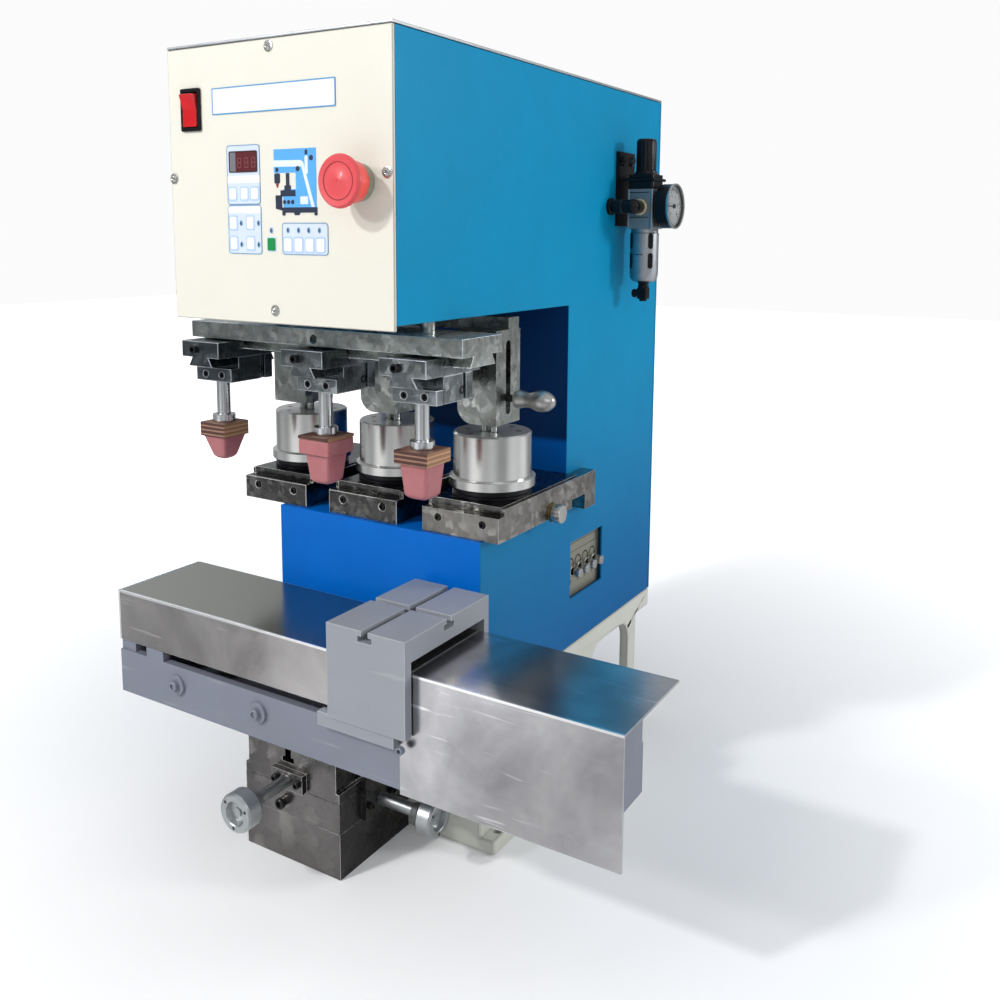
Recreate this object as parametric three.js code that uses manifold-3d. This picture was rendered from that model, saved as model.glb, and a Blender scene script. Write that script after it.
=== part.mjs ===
// Three-colour closed-cup pad printing machine with a shuttle table.
// Millimetres, X to the right, Y to the back, Z up. The model stands on Z = 0.
import * as THREE from 'three';
import { mergeVertices } from 'three/addons/utils/BufferGeometryUtils.js';
import Module from 'manifold-3d';

const wasm = await Module();
wasm.setup();

// General values
const seatGap = 0.3;
const overrun = 2;
const largeSides = 36;
const mediumSides = 20;
const smallSides = 12;
const stations = [-1, 0, 1];

// Cabinet and base
const cabinetWidth = 250;
const cabinetDepth = 528;
const baseHeight = 141;
const deckHeight = 307;
const throatHeight = 210;
const headHeight = 234;
const headUnderside = deckHeight + throatHeight;
const cabinetHeight = headUnderside + headHeight;
const deckSetback = 126;
const throatDepth = 295;
const sheetThickness = 3;
const panelThickness = 3;
const panelDrop = 4.5;
const panelLip = 12;
const coverThickness = 2.5;
const coverLip = 14;
const headOpeningMargin = 6;
const headOpeningFront = 88;
const headOpeningSetback = 27;
const headOpeningBack = throatDepth - headOpeningSetback;
const crossMemberDepth = 12;
const crossMemberHeight = 40;
const castingWall = 12;
const archSetback = 62;
const archLength = 101;
const archBack = cabinetDepth - archSetback;
const archFront = archBack - archLength;
const archCrown = 23;
const archHeight = baseHeight - archCrown;
const archRadius = 24;
const legDepth = 24;
const legBack = archBack + legDepth;
const lugReach = 16;
const lugLength = 42;
const lugHeight = 14;
const lugHoleRadius = 5;
const rearPanelScrewRadius = 4;
const rearPanelScrewHeight = 1.6;
const rearPanelScrewInset = 14;

// Controls on the front panel
const rockerX = -96;
const rockerDrop = 55.5;
const rockerHeight = cabinetHeight - rockerDrop;
const rockerBezelWidth = 23.5;
const rockerBezelHeight = 36.5;
const rockerBezelRim = 3;
const rockerBezelProud = 2.2;
const rockerTubDepth = 18;
const rockerTilt = 8;
const rockerPivotDepth = 5;
const rockerProud = 5.5;
const stopX = 91.7;
const stopDrop = 121.5;
const stopHeight = cabinetHeight - stopDrop;
const stopCollarRadius = 15;
const stopCollarLength = 12;
const stopStemRadius = 7;
const stopMushroomRadius = 21;
const stopRimThickness = 5;
const stopSkirtRadius = 16.7;
const stopSkirtWall = 1.4;
const stopSkirtGap = 8.5;
const stopFaceThickness = 8;
const stopReach = 27;
const stopTravel = 5;
const stopBarrelRadius = 11;
const stopBarrelLength = 24;

// Side air unit
const airStandoff = 27;
const airX = cabinetWidth / 2 + airStandoff;
const airSetback = 104;
const airY = cabinetDepth - airSetback;
const airBodyWidth = 31;
const airBodyDrop = 154;
const airBodyHeight = 44;
const airBodyBottom = cabinetHeight - airBodyDrop;
const airBodyTop = airBodyBottom + airBodyHeight;
const airBonnetRadius = 14;
const airBonnetBlock = 30;
const airBonnetCap = 4;
const airBonnetHeight = 20;
const airBonnetTop = airBodyTop + airBonnetHeight;
const airKnobRadius = 11.5;
const airKnobLength = 35;
const airKnobTop = airBonnetTop + airKnobLength;
const airKnobFlutes = 12;
const airFluteDepth = 0.8;
const airGuardRadius = 16;
const airGuardLength = 59;
const airGuardBottom = airBodyBottom - airGuardLength;
const airDrainRadius = 7;
const airDrainLength = 22;
const airDrainBottom = airGuardBottom - airDrainLength;
const airElbowReach = 36;
const airElbowRadius = 8;
const airElbowRise = 24;
const airElbowHeight = airBodyBottom + airElbowRise;
const airFlangeRadius = 9.5;
const airFlangeLength = 4;
const airBracketWidth = 44;
const airBracketFront = airY - airBracketWidth / 2;
const airBracketBack = airY + airBracketWidth / 2;
const airBracketRise = 3;
const airBracketLength = 82;
const airBracketBottom = airBodyBottom + airBracketRise;
const airBracketTop = airBracketBottom + airBracketLength;
const airBracketSheet = 3;
const airTongueHeight = (airBodyTop + airBonnetTop) / 2;
const gaugeRise = 25;
const gaugeHeight = airBodyBottom + gaugeRise;
const gaugeRadius = 24.5;
const gaugeStandoff = 19;
const gaugeStart = airX + gaugeStandoff;
const gaugeDepth = 18;
const gaugeRim = 2.5;
const gaugeRecess = 4;
const gaugeStemRadius = 6;
const needleLength = 16;
const needleWidth = 1.6;
const needleThickness = 0.8;
const needleHubRadius = 2.4;

// Speed valve panel in the side
const valveSetback = 13;
const valveWindowLength = 78;
const valveWindowRise = 54;
const valveWindowHeight = 63;
const valveFront = throatDepth + valveSetback;
const valveBack = valveFront + valveWindowLength;
const valveBottom = baseHeight + valveWindowRise;
const valveTop = valveBottom + valveWindowHeight;
const valvePanelMargin = 6;
const valvePanelThickness = 3;
const valveRecess = 7;
const valveKnobCount = 4;
const valveKnobInset = 13;
const valveKnobRise = 27;
const valveKnobPitch = 17.5;
const valveKnobFirst = valveFront + valveKnobInset;
const valveKnobHeight = valveBottom + valveKnobRise;
const valveKnobRadius = 4.8;
const valveKnobLength = 9;
const valveStemRadius = 2.5;

// Printing gear
const gearX = -18;
const pitch = 117;
const trayWidth = 86;
const trayInset = 4;
const trayWallGap = 2;
const trayFront = deckSetback + trayInset;
const trayBack = throatDepth - trayWallGap;
const trayHeight = 24;
const trayClampDepth = 11;
const trayRailWidth = 3.6;
const trayRailHeight = 6.5;
const plateThickness = 7.5;
const outerBarReach = 35;
const outerBarBack = throatDepth + outerBarReach;
const outerBarLegDepth = 24;
const outerBarLegDrop = 8;
const outerBarOverlap = 17;
const outerBarNotchFront = trayBack - outerBarOverlap;
const outerBarNotchHeight = 9;
const trayKnobSetback = 103;
const trayKnobRise = 6;
const trayKnobY = trayFront + trayKnobSetback;
const trayKnobHeight = deckHeight + trayKnobRise;
const trayKnobRadius = 9.5;
const trayKnobLength = 12;
const trayKnobWasherRadius = 10.5;
const trayKnobWasherLength = 2.5;
const trayScrewRadius = 4;
const trayScrewDepth = 3;
const trayScrewSpacing = 50;

// Ink cups
const cupSetback = 58;
const cupY = trayFront + cupSetback;
const cupBodyRadius = 38.5;
const cupRingRadius = 42.5;
const cupRingHeight = 9;
const cupSealRadius = 39.5;
const cupSealHeight = 8.5;
const cupSealGroove = 1.5;
const cupHeight = 61;
const cupWall = 6;
const cupChamfer = 1.5;
const cupPinSpacing = 10;
const cupPinOffset = 1;
const cupPinLead = 8;
const cupPinY = cupY - cupPinLead;
const cupPinRadius = 3.8;
const cupPinHoleDepth = 6;
const cupPinEngagement = 4.5;
const cupNotchWidth = 7;
const cupNotchHeight = 6;
const cupNotchDepth = 5;

// Cup brackets
const bracketLeft = -14;
const bracketRight = 29;
const bracketLead = 41;
const bracketDepth = 43;
const bracketRise = 106;
const bracketDrop = 17;
const bracketFront = cupY - bracketLead;
const bracketBottom = deckHeight + bracketRise;
const bracketTop = headUnderside - bracketDrop;
const bracketWall = 5.5;
const bracketCorners = [1.5, 16, 16];
const bracketSlotWidth = 8.5;
const bracketSlotRise = 9;
const bracketSlotDrop = 8;
const bracketSlotBottom = bracketBottom + bracketSlotRise;
const bracketSlotTop = bracketTop - bracketSlotDrop;
const bracketSlotY = bracketFront + bracketDepth / 2;
const crossbarHeight = 13;
const crossbarLead = 19;
const crossbarFront = cupY - crossbarLead;
const crossbarDepth = 18.5;
const driveBlockRise = 4;
const driveBlockBottom = bracketBottom + driveBlockRise;
const driveBlockHeight = 32;
const handleRise = 24.5;
const handleHeight = bracketBottom + handleRise;
const handleStubRadius = 3.6;
const handleStubLength = 9;
const handleStubDepth = 10;
const handleLength = 41;
const handleFootRadius = 8.9;
const handleNeckRadius = 7.2;
const handleEggRadius = 10.1;

// Head carriage and pad plate
const guideRailWidth = 40;
const guideRailHeight = 25;
const guideRailRise = 123;
const guideRailBottom = headUnderside + guideRailRise;
const guideRailFront = 36;
const guideRailSetback = 28;
const guideRailBack = cabinetDepth - guideRailSetback;
const carriageSleeveWall = 15;
const carriageFront = 84;
const carriageBack = 222;
const carriageBridgeRise = 43;
const carriageBridgeBottom = headUnderside + carriageBridgeRise;
const carriageBridgeHeight = 30;
const rodSpacing = 176;
const rodRadius = 6.5;
const guideRodY = 97;
const rodBossRadius = 9;
const rodRise = 147;
const rodTop = headUnderside + rodRise;
const liftRodRadius = 8;
const liftRodRise = 119;
const liftRodTop = headUnderside + liftRodRise;
const boreClearance = 0.4;
const postWidth = 24;
const postSpacing = 90;
const padPlateWidth = 323;
const padPlateShift = 5.5;
const padPlateFront = 60;
const padPlateBack = 123;
const padPlateDrop = 14;
const padPlateTop = headUnderside - padPlateDrop;
const padPlateThickness = 16;
const tongueY = 92;
const tongueWidth = 40.5;
const tongueHeight = 9.5;
const padPlateHoleRadius = 4.6;
const padPlateHoleDepth = 12;
const padPlateHoleX = -15;

// Pad holders
const holderWidth = 50;
const holderFront = 44;
const holderBack = 128;
const holderDrop = 2;
const holderHeight = 16;
const holderScrewRadius = 4.2;
const holderScrewDepth = 4;
const holderTongueWidth = 32;
const holderTongueHeight = 8.7;
const slideWidth = 48;
const slideDepth = 56;
const slideBodyHeight = 16;
const slidePlateDepth = 10.5;
const slidePlateHeight = 13.5;
const slideGrooveDepth = 3;
const slideGrooveWidth = 5;
const slideGrooveSetback = 11;
const spindleInset = 12;
const spindleRadius = 6.5;
const spindleCollarRadius = 11;
const spindleCollarHeight = 7;
const spindleDrop = 100;
const spindleBottom = padPlateTop - spindleDrop;
const slideScrewRadius = 3.6;
const slideScrewSpacing = 22;
const padShiftX = [-11, 2.5, -1];
const padReachY = [72.5, 76, 73];
const boardWidth = [33, 37, 36];
const boardThickness = [14, 3, 12];
const padHeadThickness = [0, 14, 0];
const padTopWidth = [30, 29, 30];
const padTipShare = [0.62, 0.82, 0.84];
const padLength = [24, 30, 33];
const padTipBulge = 5;

// Pedestal and cross slides
const pedestalWidth = 117;
const pedestalFront = 22;
const pedestalHeight = 44.5;
const screwY = 74;
const crossXTop = 74;
const crossYTop = 125.7;
const crossStepHeight = 83.7;
const crossStepInset = 4;
const crossYBack = 117;
const guideTongueWidth = 52;
const guideTongueHeight = 8;
const guideEndWall = 4;
const dovetailSlopeShare = 0.55;
const dovetailJoinShare = 0.05;
const nutWidth = 20;
const nutLength = 24;
const nutRise = 9;
const screwRadius = 5;
const xScrewHeight = 57.5;
const yScrewHeight = 84;
const xTravel = 15;
const yTravelFront = 20;
const yTravelBack = 7;
const bearingPlateWidth = 38;
const bearingPlateHeight = 18;
const sideBearingWidth = 43;
const sideBearingTop = 85;
const bearingPlateDepth = 6;
const wheelShaftRadius = 6;
const wheelRadius = 18;
const wheelThickness = 17;
const wheelHubRadius = 10;
const wheelHubLength = 12;
const wheelRecessRadius = 11;
const wheelRecessDepth = 5;
const yWheelReach = 54;
const xWheelReach = 58;
const lockScrewX = -27;
const lockScrewHeight = 57.8;
const lockScrewRadius = 4.5;
const lockScrewLength = 5;
const slotNeck = 7;
const slotNeckDepth = 5;
const slotFoot = 14;
const slotFootDepth = 5;

// Shuttle rail, covers and table
const railLeft = -228;
const railRight = 300;
const railFront = 1.5;
const railBack = 106;
const railBottom = 126;
const railPlateTop = 170.5;
const railPlate = 8;
const railPostWidth = 20;
const railWindowWidth = 19;
const railBlockWidth = 24;
const railStopX = 128;
const railBoltRadius = 5;
const railBoltWasher = 10;
const railBoltSpacing = 108;
const railBoltFirstX = -144.6;
const railBoltHeight = 152.6;
const shuttleCoverTop = 232.4;
const shuttleCoverSheet = 2;
const leftCoverBottom = 181;
const rightCoverBottom = 123.8;
const rightCoverEnd = 330;
const rightFlangeStart = 127;
const coverSeam = 138;
const tableWidth = 83;
const tableFront = -11;
const tableBack = 116;
const tableTop = 263.7;
const tableTunnelTop = 243.5;
const tableFrontWall = 8.8;
const tableBackWall = 7;
const tableSkirtBottom = 178.5;
const tableStripHeight = 12;
const tableStripLead = 14.5;
const tableTongueLead = 14;
const tableSlotNeck = 7;
const tableSlotFoot = 15;
const tableSlotNeckDepth = 5;
const tableSlotFootDepth = 5;
const tableSlotY = 52.5;

// Values that follow from the ones above
const halfWidth = cabinetWidth / 2;
const inner = halfWidth - sheetThickness;
const shellFront = panelThickness + seatGap;
const shellBack = cabinetDepth - sheetThickness - seatGap;
const shellTop = cabinetHeight - coverThickness - seatGap;
const trayBottom = deckHeight + seatGap;
const trayTop = trayBottom + trayHeight;
const clicheTop = trayTop + seatGap + plateThickness;
const cupBottom = clicheTop + seatGap;
const cupTop = cupBottom + cupHeight;
const padPlateBottom = padPlateTop - padPlateThickness;
const holderTop = padPlateBottom - holderDrop;
const holderBottom = holderTop - holderHeight;
const slideTop = holderBottom - seatGap;
const slideTongueBottom = holderBottom - holderTongueHeight - seatGap;
const slideBottom = slideTongueBottom - slideBodyHeight;
const padSeat = spindleBottom - seatGap;
const pedestalBack = deckSetback - seatGap;
const tableX = gearX + pitch;
const tableLeft = tableX - tableWidth / 2;
const tableRight = tableX + tableWidth / 2;

// Finishes
const finishes = {
  blue: [0x1478b8, 0.45, 0.1],
  cream: [0xe9e2cc, 0.5, 0.05],
  white: [0xdfddd0, 0.55, 0.05],
  lid: [0xc9ccd0, 0.35, 0.6],
  black: [0x17181b, 0.45, 0.05],
  red: [0xd2262b, 0.35, 0.0],
  steel: [0xa7a9a6, 0.35, 0.85],
  bright: [0xc9c8c2, 0.25, 0.95],
  dark: [0x5d5a54, 0.4, 0.8],
  grey: [0x8d91a3, 0.55, 0.15],
  stainless: [0xa3a29c, 0.3, 0.9],
  wood: [0x8a5a3c, 0.7, 0.0],
  rubber: [0xc4707a, 0.45, 0.0],
  brass: [0xb08a4a, 0.35, 0.9],
  alloy: [0x9aa4ad, 0.4, 0.6],
};

// Turns a closed geometry into a solid for joining and cutting.
function solidOf(geometry) {
  const bare = geometry.clone();
  bare.deleteAttribute('normal');
  bare.deleteAttribute('uv');
  const merged = mergeVertices(bare);
  const kept = [];
  const index = merged.index.array;
  for (let i = 0; i < index.length; i += 3) {
    const [a, b, c] = [index[i], index[i + 1], index[i + 2]];
    if (a !== b && b !== c && c !== a) kept.push(a, b, c);
  }
  const build = () => new wasm.Manifold(new wasm.Mesh({
    numProp: 3,
    vertProperties: new Float32Array(merged.attributes.position.array),
    triVerts: new Uint32Array(kept),
  }));
  const solid = build();
  if (solid.volume() > 0) return solid;
  kept.reverse();
  return build();
}

function unite(...solids) {
  return solids.reduce((joined, solid) => joined.add(solid));
}

// A box between two corners.
function block(x0, x1, y0, y1, z0, z1) {
  const geometry = new THREE.BoxGeometry(x1 - x0, y1 - y0, z1 - z0);
  geometry.translate((x0 + x1) / 2, (y0 + y1) / 2, (z0 + z1) / 2);
  return solidOf(geometry);
}

// An outline of points or curves, extruded from one place to another along an axis.
function prism(shape, from, to, across, up, along) {
  const geometry = new THREE.ExtrudeGeometry(shape, {
    depth: to - from,
    bevelEnabled: false,
    curveSegments: 8,
  });
  geometry.translate(0, 0, from);
  geometry.applyMatrix4(new THREE.Matrix4().makeBasis(across, up, along));
  return solidOf(geometry);
}

const xAxis = new THREE.Vector3(1, 0, 0);
const yAxis = new THREE.Vector3(0, 1, 0);
const zAxis = new THREE.Vector3(0, 0, 1);

function outline(points) {
  return new THREE.Shape(points.map(([u, v]) => new THREE.Vector2(u, v)));
}

// Outline in (y, z), running along X.
function prismX(points, from, to) {
  return prism(outline(points), from, to, yAxis, zAxis, xAxis);
}

// Outline in (x, z), running along Y.
function prismY(points, from, to) {
  return prism(outline(points.map(([x, z]) => [z, x])), from, to, zAxis, xAxis, yAxis);
}

// Outline in (x, y), running along Z.
function prismZ(points, from, to) {
  return prism(outline(points), from, to, xAxis, yAxis, zAxis);
}

// A rectangle whose four corners are round.
function roundedShape(u0, u1, v0, v1, radius) {
  const shape = new THREE.Shape();
  shape.moveTo(u0 + radius, v0);
  shape.lineTo(u1 - radius, v0);
  shape.absarc(u1 - radius, v0 + radius, radius, -Math.PI / 2, 0);
  shape.lineTo(u1, v1 - radius);
  shape.absarc(u1 - radius, v1 - radius, radius, 0, Math.PI / 2);
  shape.lineTo(u0 + radius, v1);
  shape.absarc(u0 + radius, v1 - radius, radius, Math.PI / 2, Math.PI);
  shape.lineTo(u0, v0 + radius);
  shape.absarc(u0 + radius, v0 + radius, radius, Math.PI, Math.PI * 1.5);
  return shape;
}

// A turned form about an axis: the profile gives radius and place along the axis.
function turned(profile, axis, centre, sides) {
  const points = profile.map(([radius, along]) => new THREE.Vector2(radius, along));
  const geometry = new THREE.LatheGeometry(points, sides);
  if (axis === 'x') geometry.rotateZ(-Math.PI / 2);
  if (axis === 'z') geometry.rotateX(Math.PI / 2);
  geometry.translate(...centre);
  return solidOf(geometry);
}

function rod(radius, from, to, axis, centre, sides) {
  return turned([[0, from], [radius, from], [radius, to], [0, to]], axis, centre, sides);
}

function rodX(radius, from, to, y, z, sides = smallSides) {
  return rod(radius, from, to, 'x', [0, y, z], sides);
}

function rodY(radius, from, to, x, z, sides = smallSides) {
  return rod(radius, from, to, 'y', [x, 0, z], sides);
}

function rodZ(radius, from, to, x, y, sides = smallSides) {
  return rod(radius, from, to, 'z', [x, y, 0], sides);
}

// A finished piece: the solid's faces as a named mesh.
function piece(name, solid, finish, ...more) {
  const { vertProperties, triVerts } = solid.getMesh();
  const geometry = new THREE.BufferGeometry();
  geometry.setAttribute('position', new THREE.BufferAttribute(new Float32Array(vertProperties), 3));
  geometry.setIndex(new THREE.BufferAttribute(new Uint32Array(triVerts), 1));
  const [color, roughness, metalness] = finishes[finish];
  const material = new THREE.MeshStandardMaterial({ color, roughness, metalness, flatShading: true });
  const mesh = new THREE.Mesh(geometry, material);
  mesh.name = name;
  if (more.length) mesh.position.set(...more);
  return mesh;
}

const machine = new THREE.Group();
machine.name = 'pad_printing_machine';

// Base casting: a ring of walls with a low arch in each side and a bolt lug at each corner.
function baseCasting() {
  const top = baseHeight - seatGap;
  let body = block(-halfWidth, halfWidth, deckSetback, cabinetDepth, 0, top);
  body = body.subtract(block(
    -halfWidth + castingWall, halfWidth - castingWall,
    deckSetback + castingWall, cabinetDepth - castingWall, -overrun, top + overrun));
  const arch = new THREE.Shape();
  arch.moveTo(archFront, -overrun);
  arch.lineTo(archBack, -overrun);
  arch.lineTo(archBack, archHeight - archRadius);
  arch.absarc(archBack - archRadius, archHeight - archRadius, archRadius, 0, Math.PI / 2);
  arch.lineTo(archFront + archRadius, archHeight);
  arch.absarc(archFront + archRadius, archHeight - archRadius, archRadius, Math.PI / 2, Math.PI);
  body = body.subtract(prism(arch, -halfWidth - overrun, halfWidth + overrun, yAxis, zAxis, xAxis));
  body = body.subtract(block(-halfWidth - overrun, halfWidth + overrun, legBack, cabinetDepth + overrun,
    -overrun, archHeight));
  for (const side of [-1, 1]) {
    for (const front of [deckSetback, (archBack + legBack - lugLength) / 2]) {
      const near = side * (halfWidth - castingWall / 2);
      const far = side * (halfWidth + lugReach);
      const lug = block(Math.min(near, far), Math.max(near, far), front, front + lugLength, 0, lugHeight);
      const hole = rodZ(lugHoleRadius, -overrun, lugHeight + overrun,
        side * (halfWidth + lugReach / 2), front + lugLength / 2);
      body = body.add(lug).subtract(hole);
    }
  }
  return piece('base_casting', body, 'white');
}

// Cabinet shell: C-shaped sheet housing, open at the head's front, top, back and bottom.
function cabinetShell() {
  const outer = prismX([
    [shellFront, headUnderside], [shellFront, shellTop], [shellBack, shellTop],
    [shellBack, baseHeight], [deckSetback, baseHeight], [deckSetback, deckHeight],
    [throatDepth, deckHeight], [throatDepth, headUnderside],
  ], -halfWidth, halfWidth);
  const hollow = prismX([
    [shellFront - overrun, headUnderside + sheetThickness],
    [shellFront - overrun, shellTop + overrun],
    [shellBack + overrun, shellTop + overrun],
    [shellBack + overrun, baseHeight - overrun],
    [deckSetback + sheetThickness, baseHeight - overrun],
    [deckSetback + sheetThickness, deckHeight - sheetThickness],
    [throatDepth + sheetThickness, deckHeight - sheetThickness],
    [throatDepth + sheetThickness, headUnderside + sheetThickness],
  ], -inner, inner);
  let shell = outer.subtract(hollow);
  const openingHalf = inner - headOpeningMargin;
  shell = shell.subtract(block(-openingHalf, openingHalf, headOpeningFront, headOpeningBack,
    headUnderside - overrun, headUnderside + sheetThickness + overrun));
  for (const front of [guideRailFront, guideRailBack - crossMemberDepth]) {
    shell = shell.add(block(-inner - sheetThickness / 2, inner + sheetThickness / 2,
      front, front + crossMemberDepth,
      guideRailBottom - crossMemberHeight, guideRailBottom - seatGap));
  }
  shell = shell.subtract(block(inner - overrun, halfWidth + overrun,
    valveFront, valveBack, valveBottom, valveTop));
  return piece('cabinet_shell', shell, 'blue');
}

// Front panel: flat cream sheet with a folded lip that fits inside the shell.
function frontPanel() {
  const bottom = headUnderside - panelDrop;
  let panel = block(-halfWidth, halfWidth, 0, panelThickness, bottom, shellTop);
  const lipHalf = inner - seatGap;
  const lipBottom = headUnderside + sheetThickness + seatGap;
  const lipTop = shellTop - coverLip - seatGap;
  const lip = block(-lipHalf, lipHalf, panelThickness / 2, panelThickness + panelLip, lipBottom, lipTop)
    .subtract(block(-lipHalf + sheetThickness, lipHalf - sheetThickness,
      0, panelThickness + panelLip + overrun, lipBottom + sheetThickness, lipTop - sheetThickness));
  panel = panel.add(lip);
  const tubHalfWidth = rockerBezelWidth / 2 - rockerBezelRim / 2 + seatGap;
  const tubHalfHeight = rockerBezelHeight / 2 - rockerBezelRim / 2 + seatGap;
  panel = panel.subtract(block(rockerX - tubHalfWidth, rockerX + tubHalfWidth,
    -overrun, panelThickness + overrun, rockerHeight - tubHalfHeight, rockerHeight + tubHalfHeight));
  panel = panel.subtract(rodY(stopBarrelRadius + seatGap, -overrun, panelThickness + overrun,
    stopX, stopHeight, mediumSides));
  return piece('front_panel', panel, 'cream');
}

function topCover() {
  const bottom = cabinetHeight - coverThickness;
  const lipHalf = inner - seatGap;
  const lipFront = shellFront + seatGap;
  const lipBack = shellBack - seatGap;
  let cover = block(-halfWidth, halfWidth, 0, cabinetDepth, bottom, cabinetHeight);
  const lip = block(-lipHalf, lipHalf, lipFront, lipBack, bottom - coverLip, bottom + coverThickness / 2)
    .subtract(block(-lipHalf + coverThickness, lipHalf - coverThickness,
      lipFront + coverThickness, lipBack - coverThickness, bottom - coverLip - overrun, bottom));
  cover = cover.add(lip);
  return piece('top_cover', cover, 'lid');
}

// Rear cover: flat sheet held by domed screws along its edges.
function rearCover() {
  const top = cabinetHeight - coverThickness - seatGap;
  let cover = block(-halfWidth, halfWidth, cabinetDepth - sheetThickness, cabinetDepth, baseHeight, top);
  const middle = (baseHeight + top) / 2;
  for (const side of [-1, 1]) {
    for (const height of [baseHeight + rearPanelScrewInset, middle, top - rearPanelScrewInset]) {
      const dome = turned([
        [0, cabinetDepth - sheetThickness / 2], [rearPanelScrewRadius, cabinetDepth - sheetThickness / 2],
        [rearPanelScrewRadius, cabinetDepth], [rearPanelScrewRadius / 2, cabinetDepth + rearPanelScrewHeight],
        [0, cabinetDepth + rearPanelScrewHeight],
      ], 'y', [side * (halfWidth - rearPanelScrewInset), 0, height], smallSides);
      cover = cover.add(dome);
    }
  }
  return piece('rear_cover', cover, 'blue');
}

// Power rocker: a tub with a rim, and the rocker that tips in it.
function rockerBezel() {
  const halfW = rockerBezelWidth / 2;
  const halfH = rockerBezelHeight / 2;
  const tubW = halfW - rockerBezelRim / 2;
  const tubH = halfH - rockerBezelRim / 2;
  const openW = halfW - rockerBezelRim;
  const openH = halfH - rockerBezelRim;
  const rim = prism(roundedShape(-halfH, halfH, -halfW, halfW, rockerBezelRim / 2),
    -rockerBezelProud, -seatGap, zAxis, xAxis, yAxis);
  const tub = block(-tubW, tubW, -rockerBezelProud / 2, rockerTubDepth, -tubH, tubH);
  const open = block(-openW, openW, -rockerBezelProud - overrun, rockerTubDepth - rockerBezelRim, -openH, openH);
  return piece('rocker_bezel', rim.add(tub).subtract(open), 'black', rockerX, 0, rockerHeight);
}

function powerRocker() {
  const halfW = rockerBezelWidth / 2 - rockerBezelRim - seatGap;
  const halfH = rockerBezelHeight / 2 - rockerBezelRim - seatGap;
  const tilt = THREE.MathUtils.degToRad(rockerTilt);
  const reach = halfH * Math.cos(tilt) - rockerProud * Math.sin(tilt);
  const waist = rockerProud * 0.6;
  const body = prismX([
    [rockerPivotDepth, -reach * 0.8], [0, -reach], [-rockerProud, -reach],
    [-waist, 0], [-rockerProud, reach], [0, reach], [rockerPivotDepth, reach * 0.8],
  ], -halfW, halfW);
  const mesh = piece('power_rocker', body, 'red', rockerX, 0, rockerHeight);
  mesh.rotation.x = tilt;
  return mesh;
}

// Emergency stop: fixed collar with its barrel, and the mushroom that pushes in.
function stopCollar() {
  const profile = [
    [stopStemRadius + seatGap, -stopCollarLength],
    [stopCollarRadius * 0.85, -stopCollarLength],
    [stopCollarRadius, -stopCollarLength * 0.6],
    [stopCollarRadius, -seatGap],
    [stopBarrelRadius, -seatGap],
    [stopBarrelRadius, stopBarrelLength],
    [stopStemRadius + seatGap, stopBarrelLength],
    [stopStemRadius + seatGap, -stopCollarLength],
  ];
  return piece('estop_collar', turned(profile, 'y', [0, 0, 0], mediumSides), 'grey', stopX, 0, stopHeight);
}

function stopButton() {
  const face = -stopReach;
  const inside = face + stopFaceThickness;
  const skirtInner = stopSkirtRadius - stopSkirtWall;
  const profile = [
    [0, face], [stopMushroomRadius * 0.9, face + stopRimThickness * 0.06],
    [stopMushroomRadius * 0.98, face + stopRimThickness * 0.25],
    [stopMushroomRadius, face + stopRimThickness * 0.55],
    [stopMushroomRadius * 0.96, face + stopRimThickness * 0.9],
    [stopSkirtRadius * 1.06, face + stopRimThickness], [stopSkirtRadius, face + stopRimThickness * 1.3],
    [stopSkirtRadius, -stopSkirtGap], [skirtInner, -stopSkirtGap], [skirtInner, inside],
    [stopStemRadius, inside],
    [stopStemRadius, stopBarrelLength - stopTravel], [0, stopBarrelLength - stopTravel],
  ];
  return piece('estop_button', turned(profile, 'y', [0, 0, 0], largeSides), 'red', stopX, 0, stopHeight);
}

// Air regulator on the side: bracket, body with filter bowl guard, knob, gauge and needle.
function airBracket() {
  const wall = halfWidth + seatGap;
  const plate = block(wall, wall + airBracketSheet, airBracketFront, airBracketBack, airBracketBottom, airBracketTop);
  const tongueFrom = airTongueHeight - airBracketSheet / 2;
  const tongue = block(wall, airX + airBonnetRadius + airBracketSheet, airY - airBonnetRadius - airBracketSheet,
    airY + airBonnetRadius + airBracketSheet, tongueFrom, tongueFrom + airBracketSheet);
  const hole = rodZ(airBonnetRadius + seatGap, tongueFrom - overrun, tongueFrom + airBracketSheet + overrun,
    airX, airY, mediumSides);
  let bracket = plate.add(tongue).subtract(hole);
  for (const y of [airBracketFront, airBracketBack]) {
    const inset = y === airBracketFront ? rearPanelScrewRadius * 2 : -rearPanelScrewRadius * 2;
    bracket = bracket.add(rodX(rearPanelScrewRadius, wall, wall + airBracketSheet * 2,
      y + inset, airBracketTop - rearPanelScrewRadius * 2));
  }
  return piece('air_bracket', bracket, 'black');
}

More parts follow.
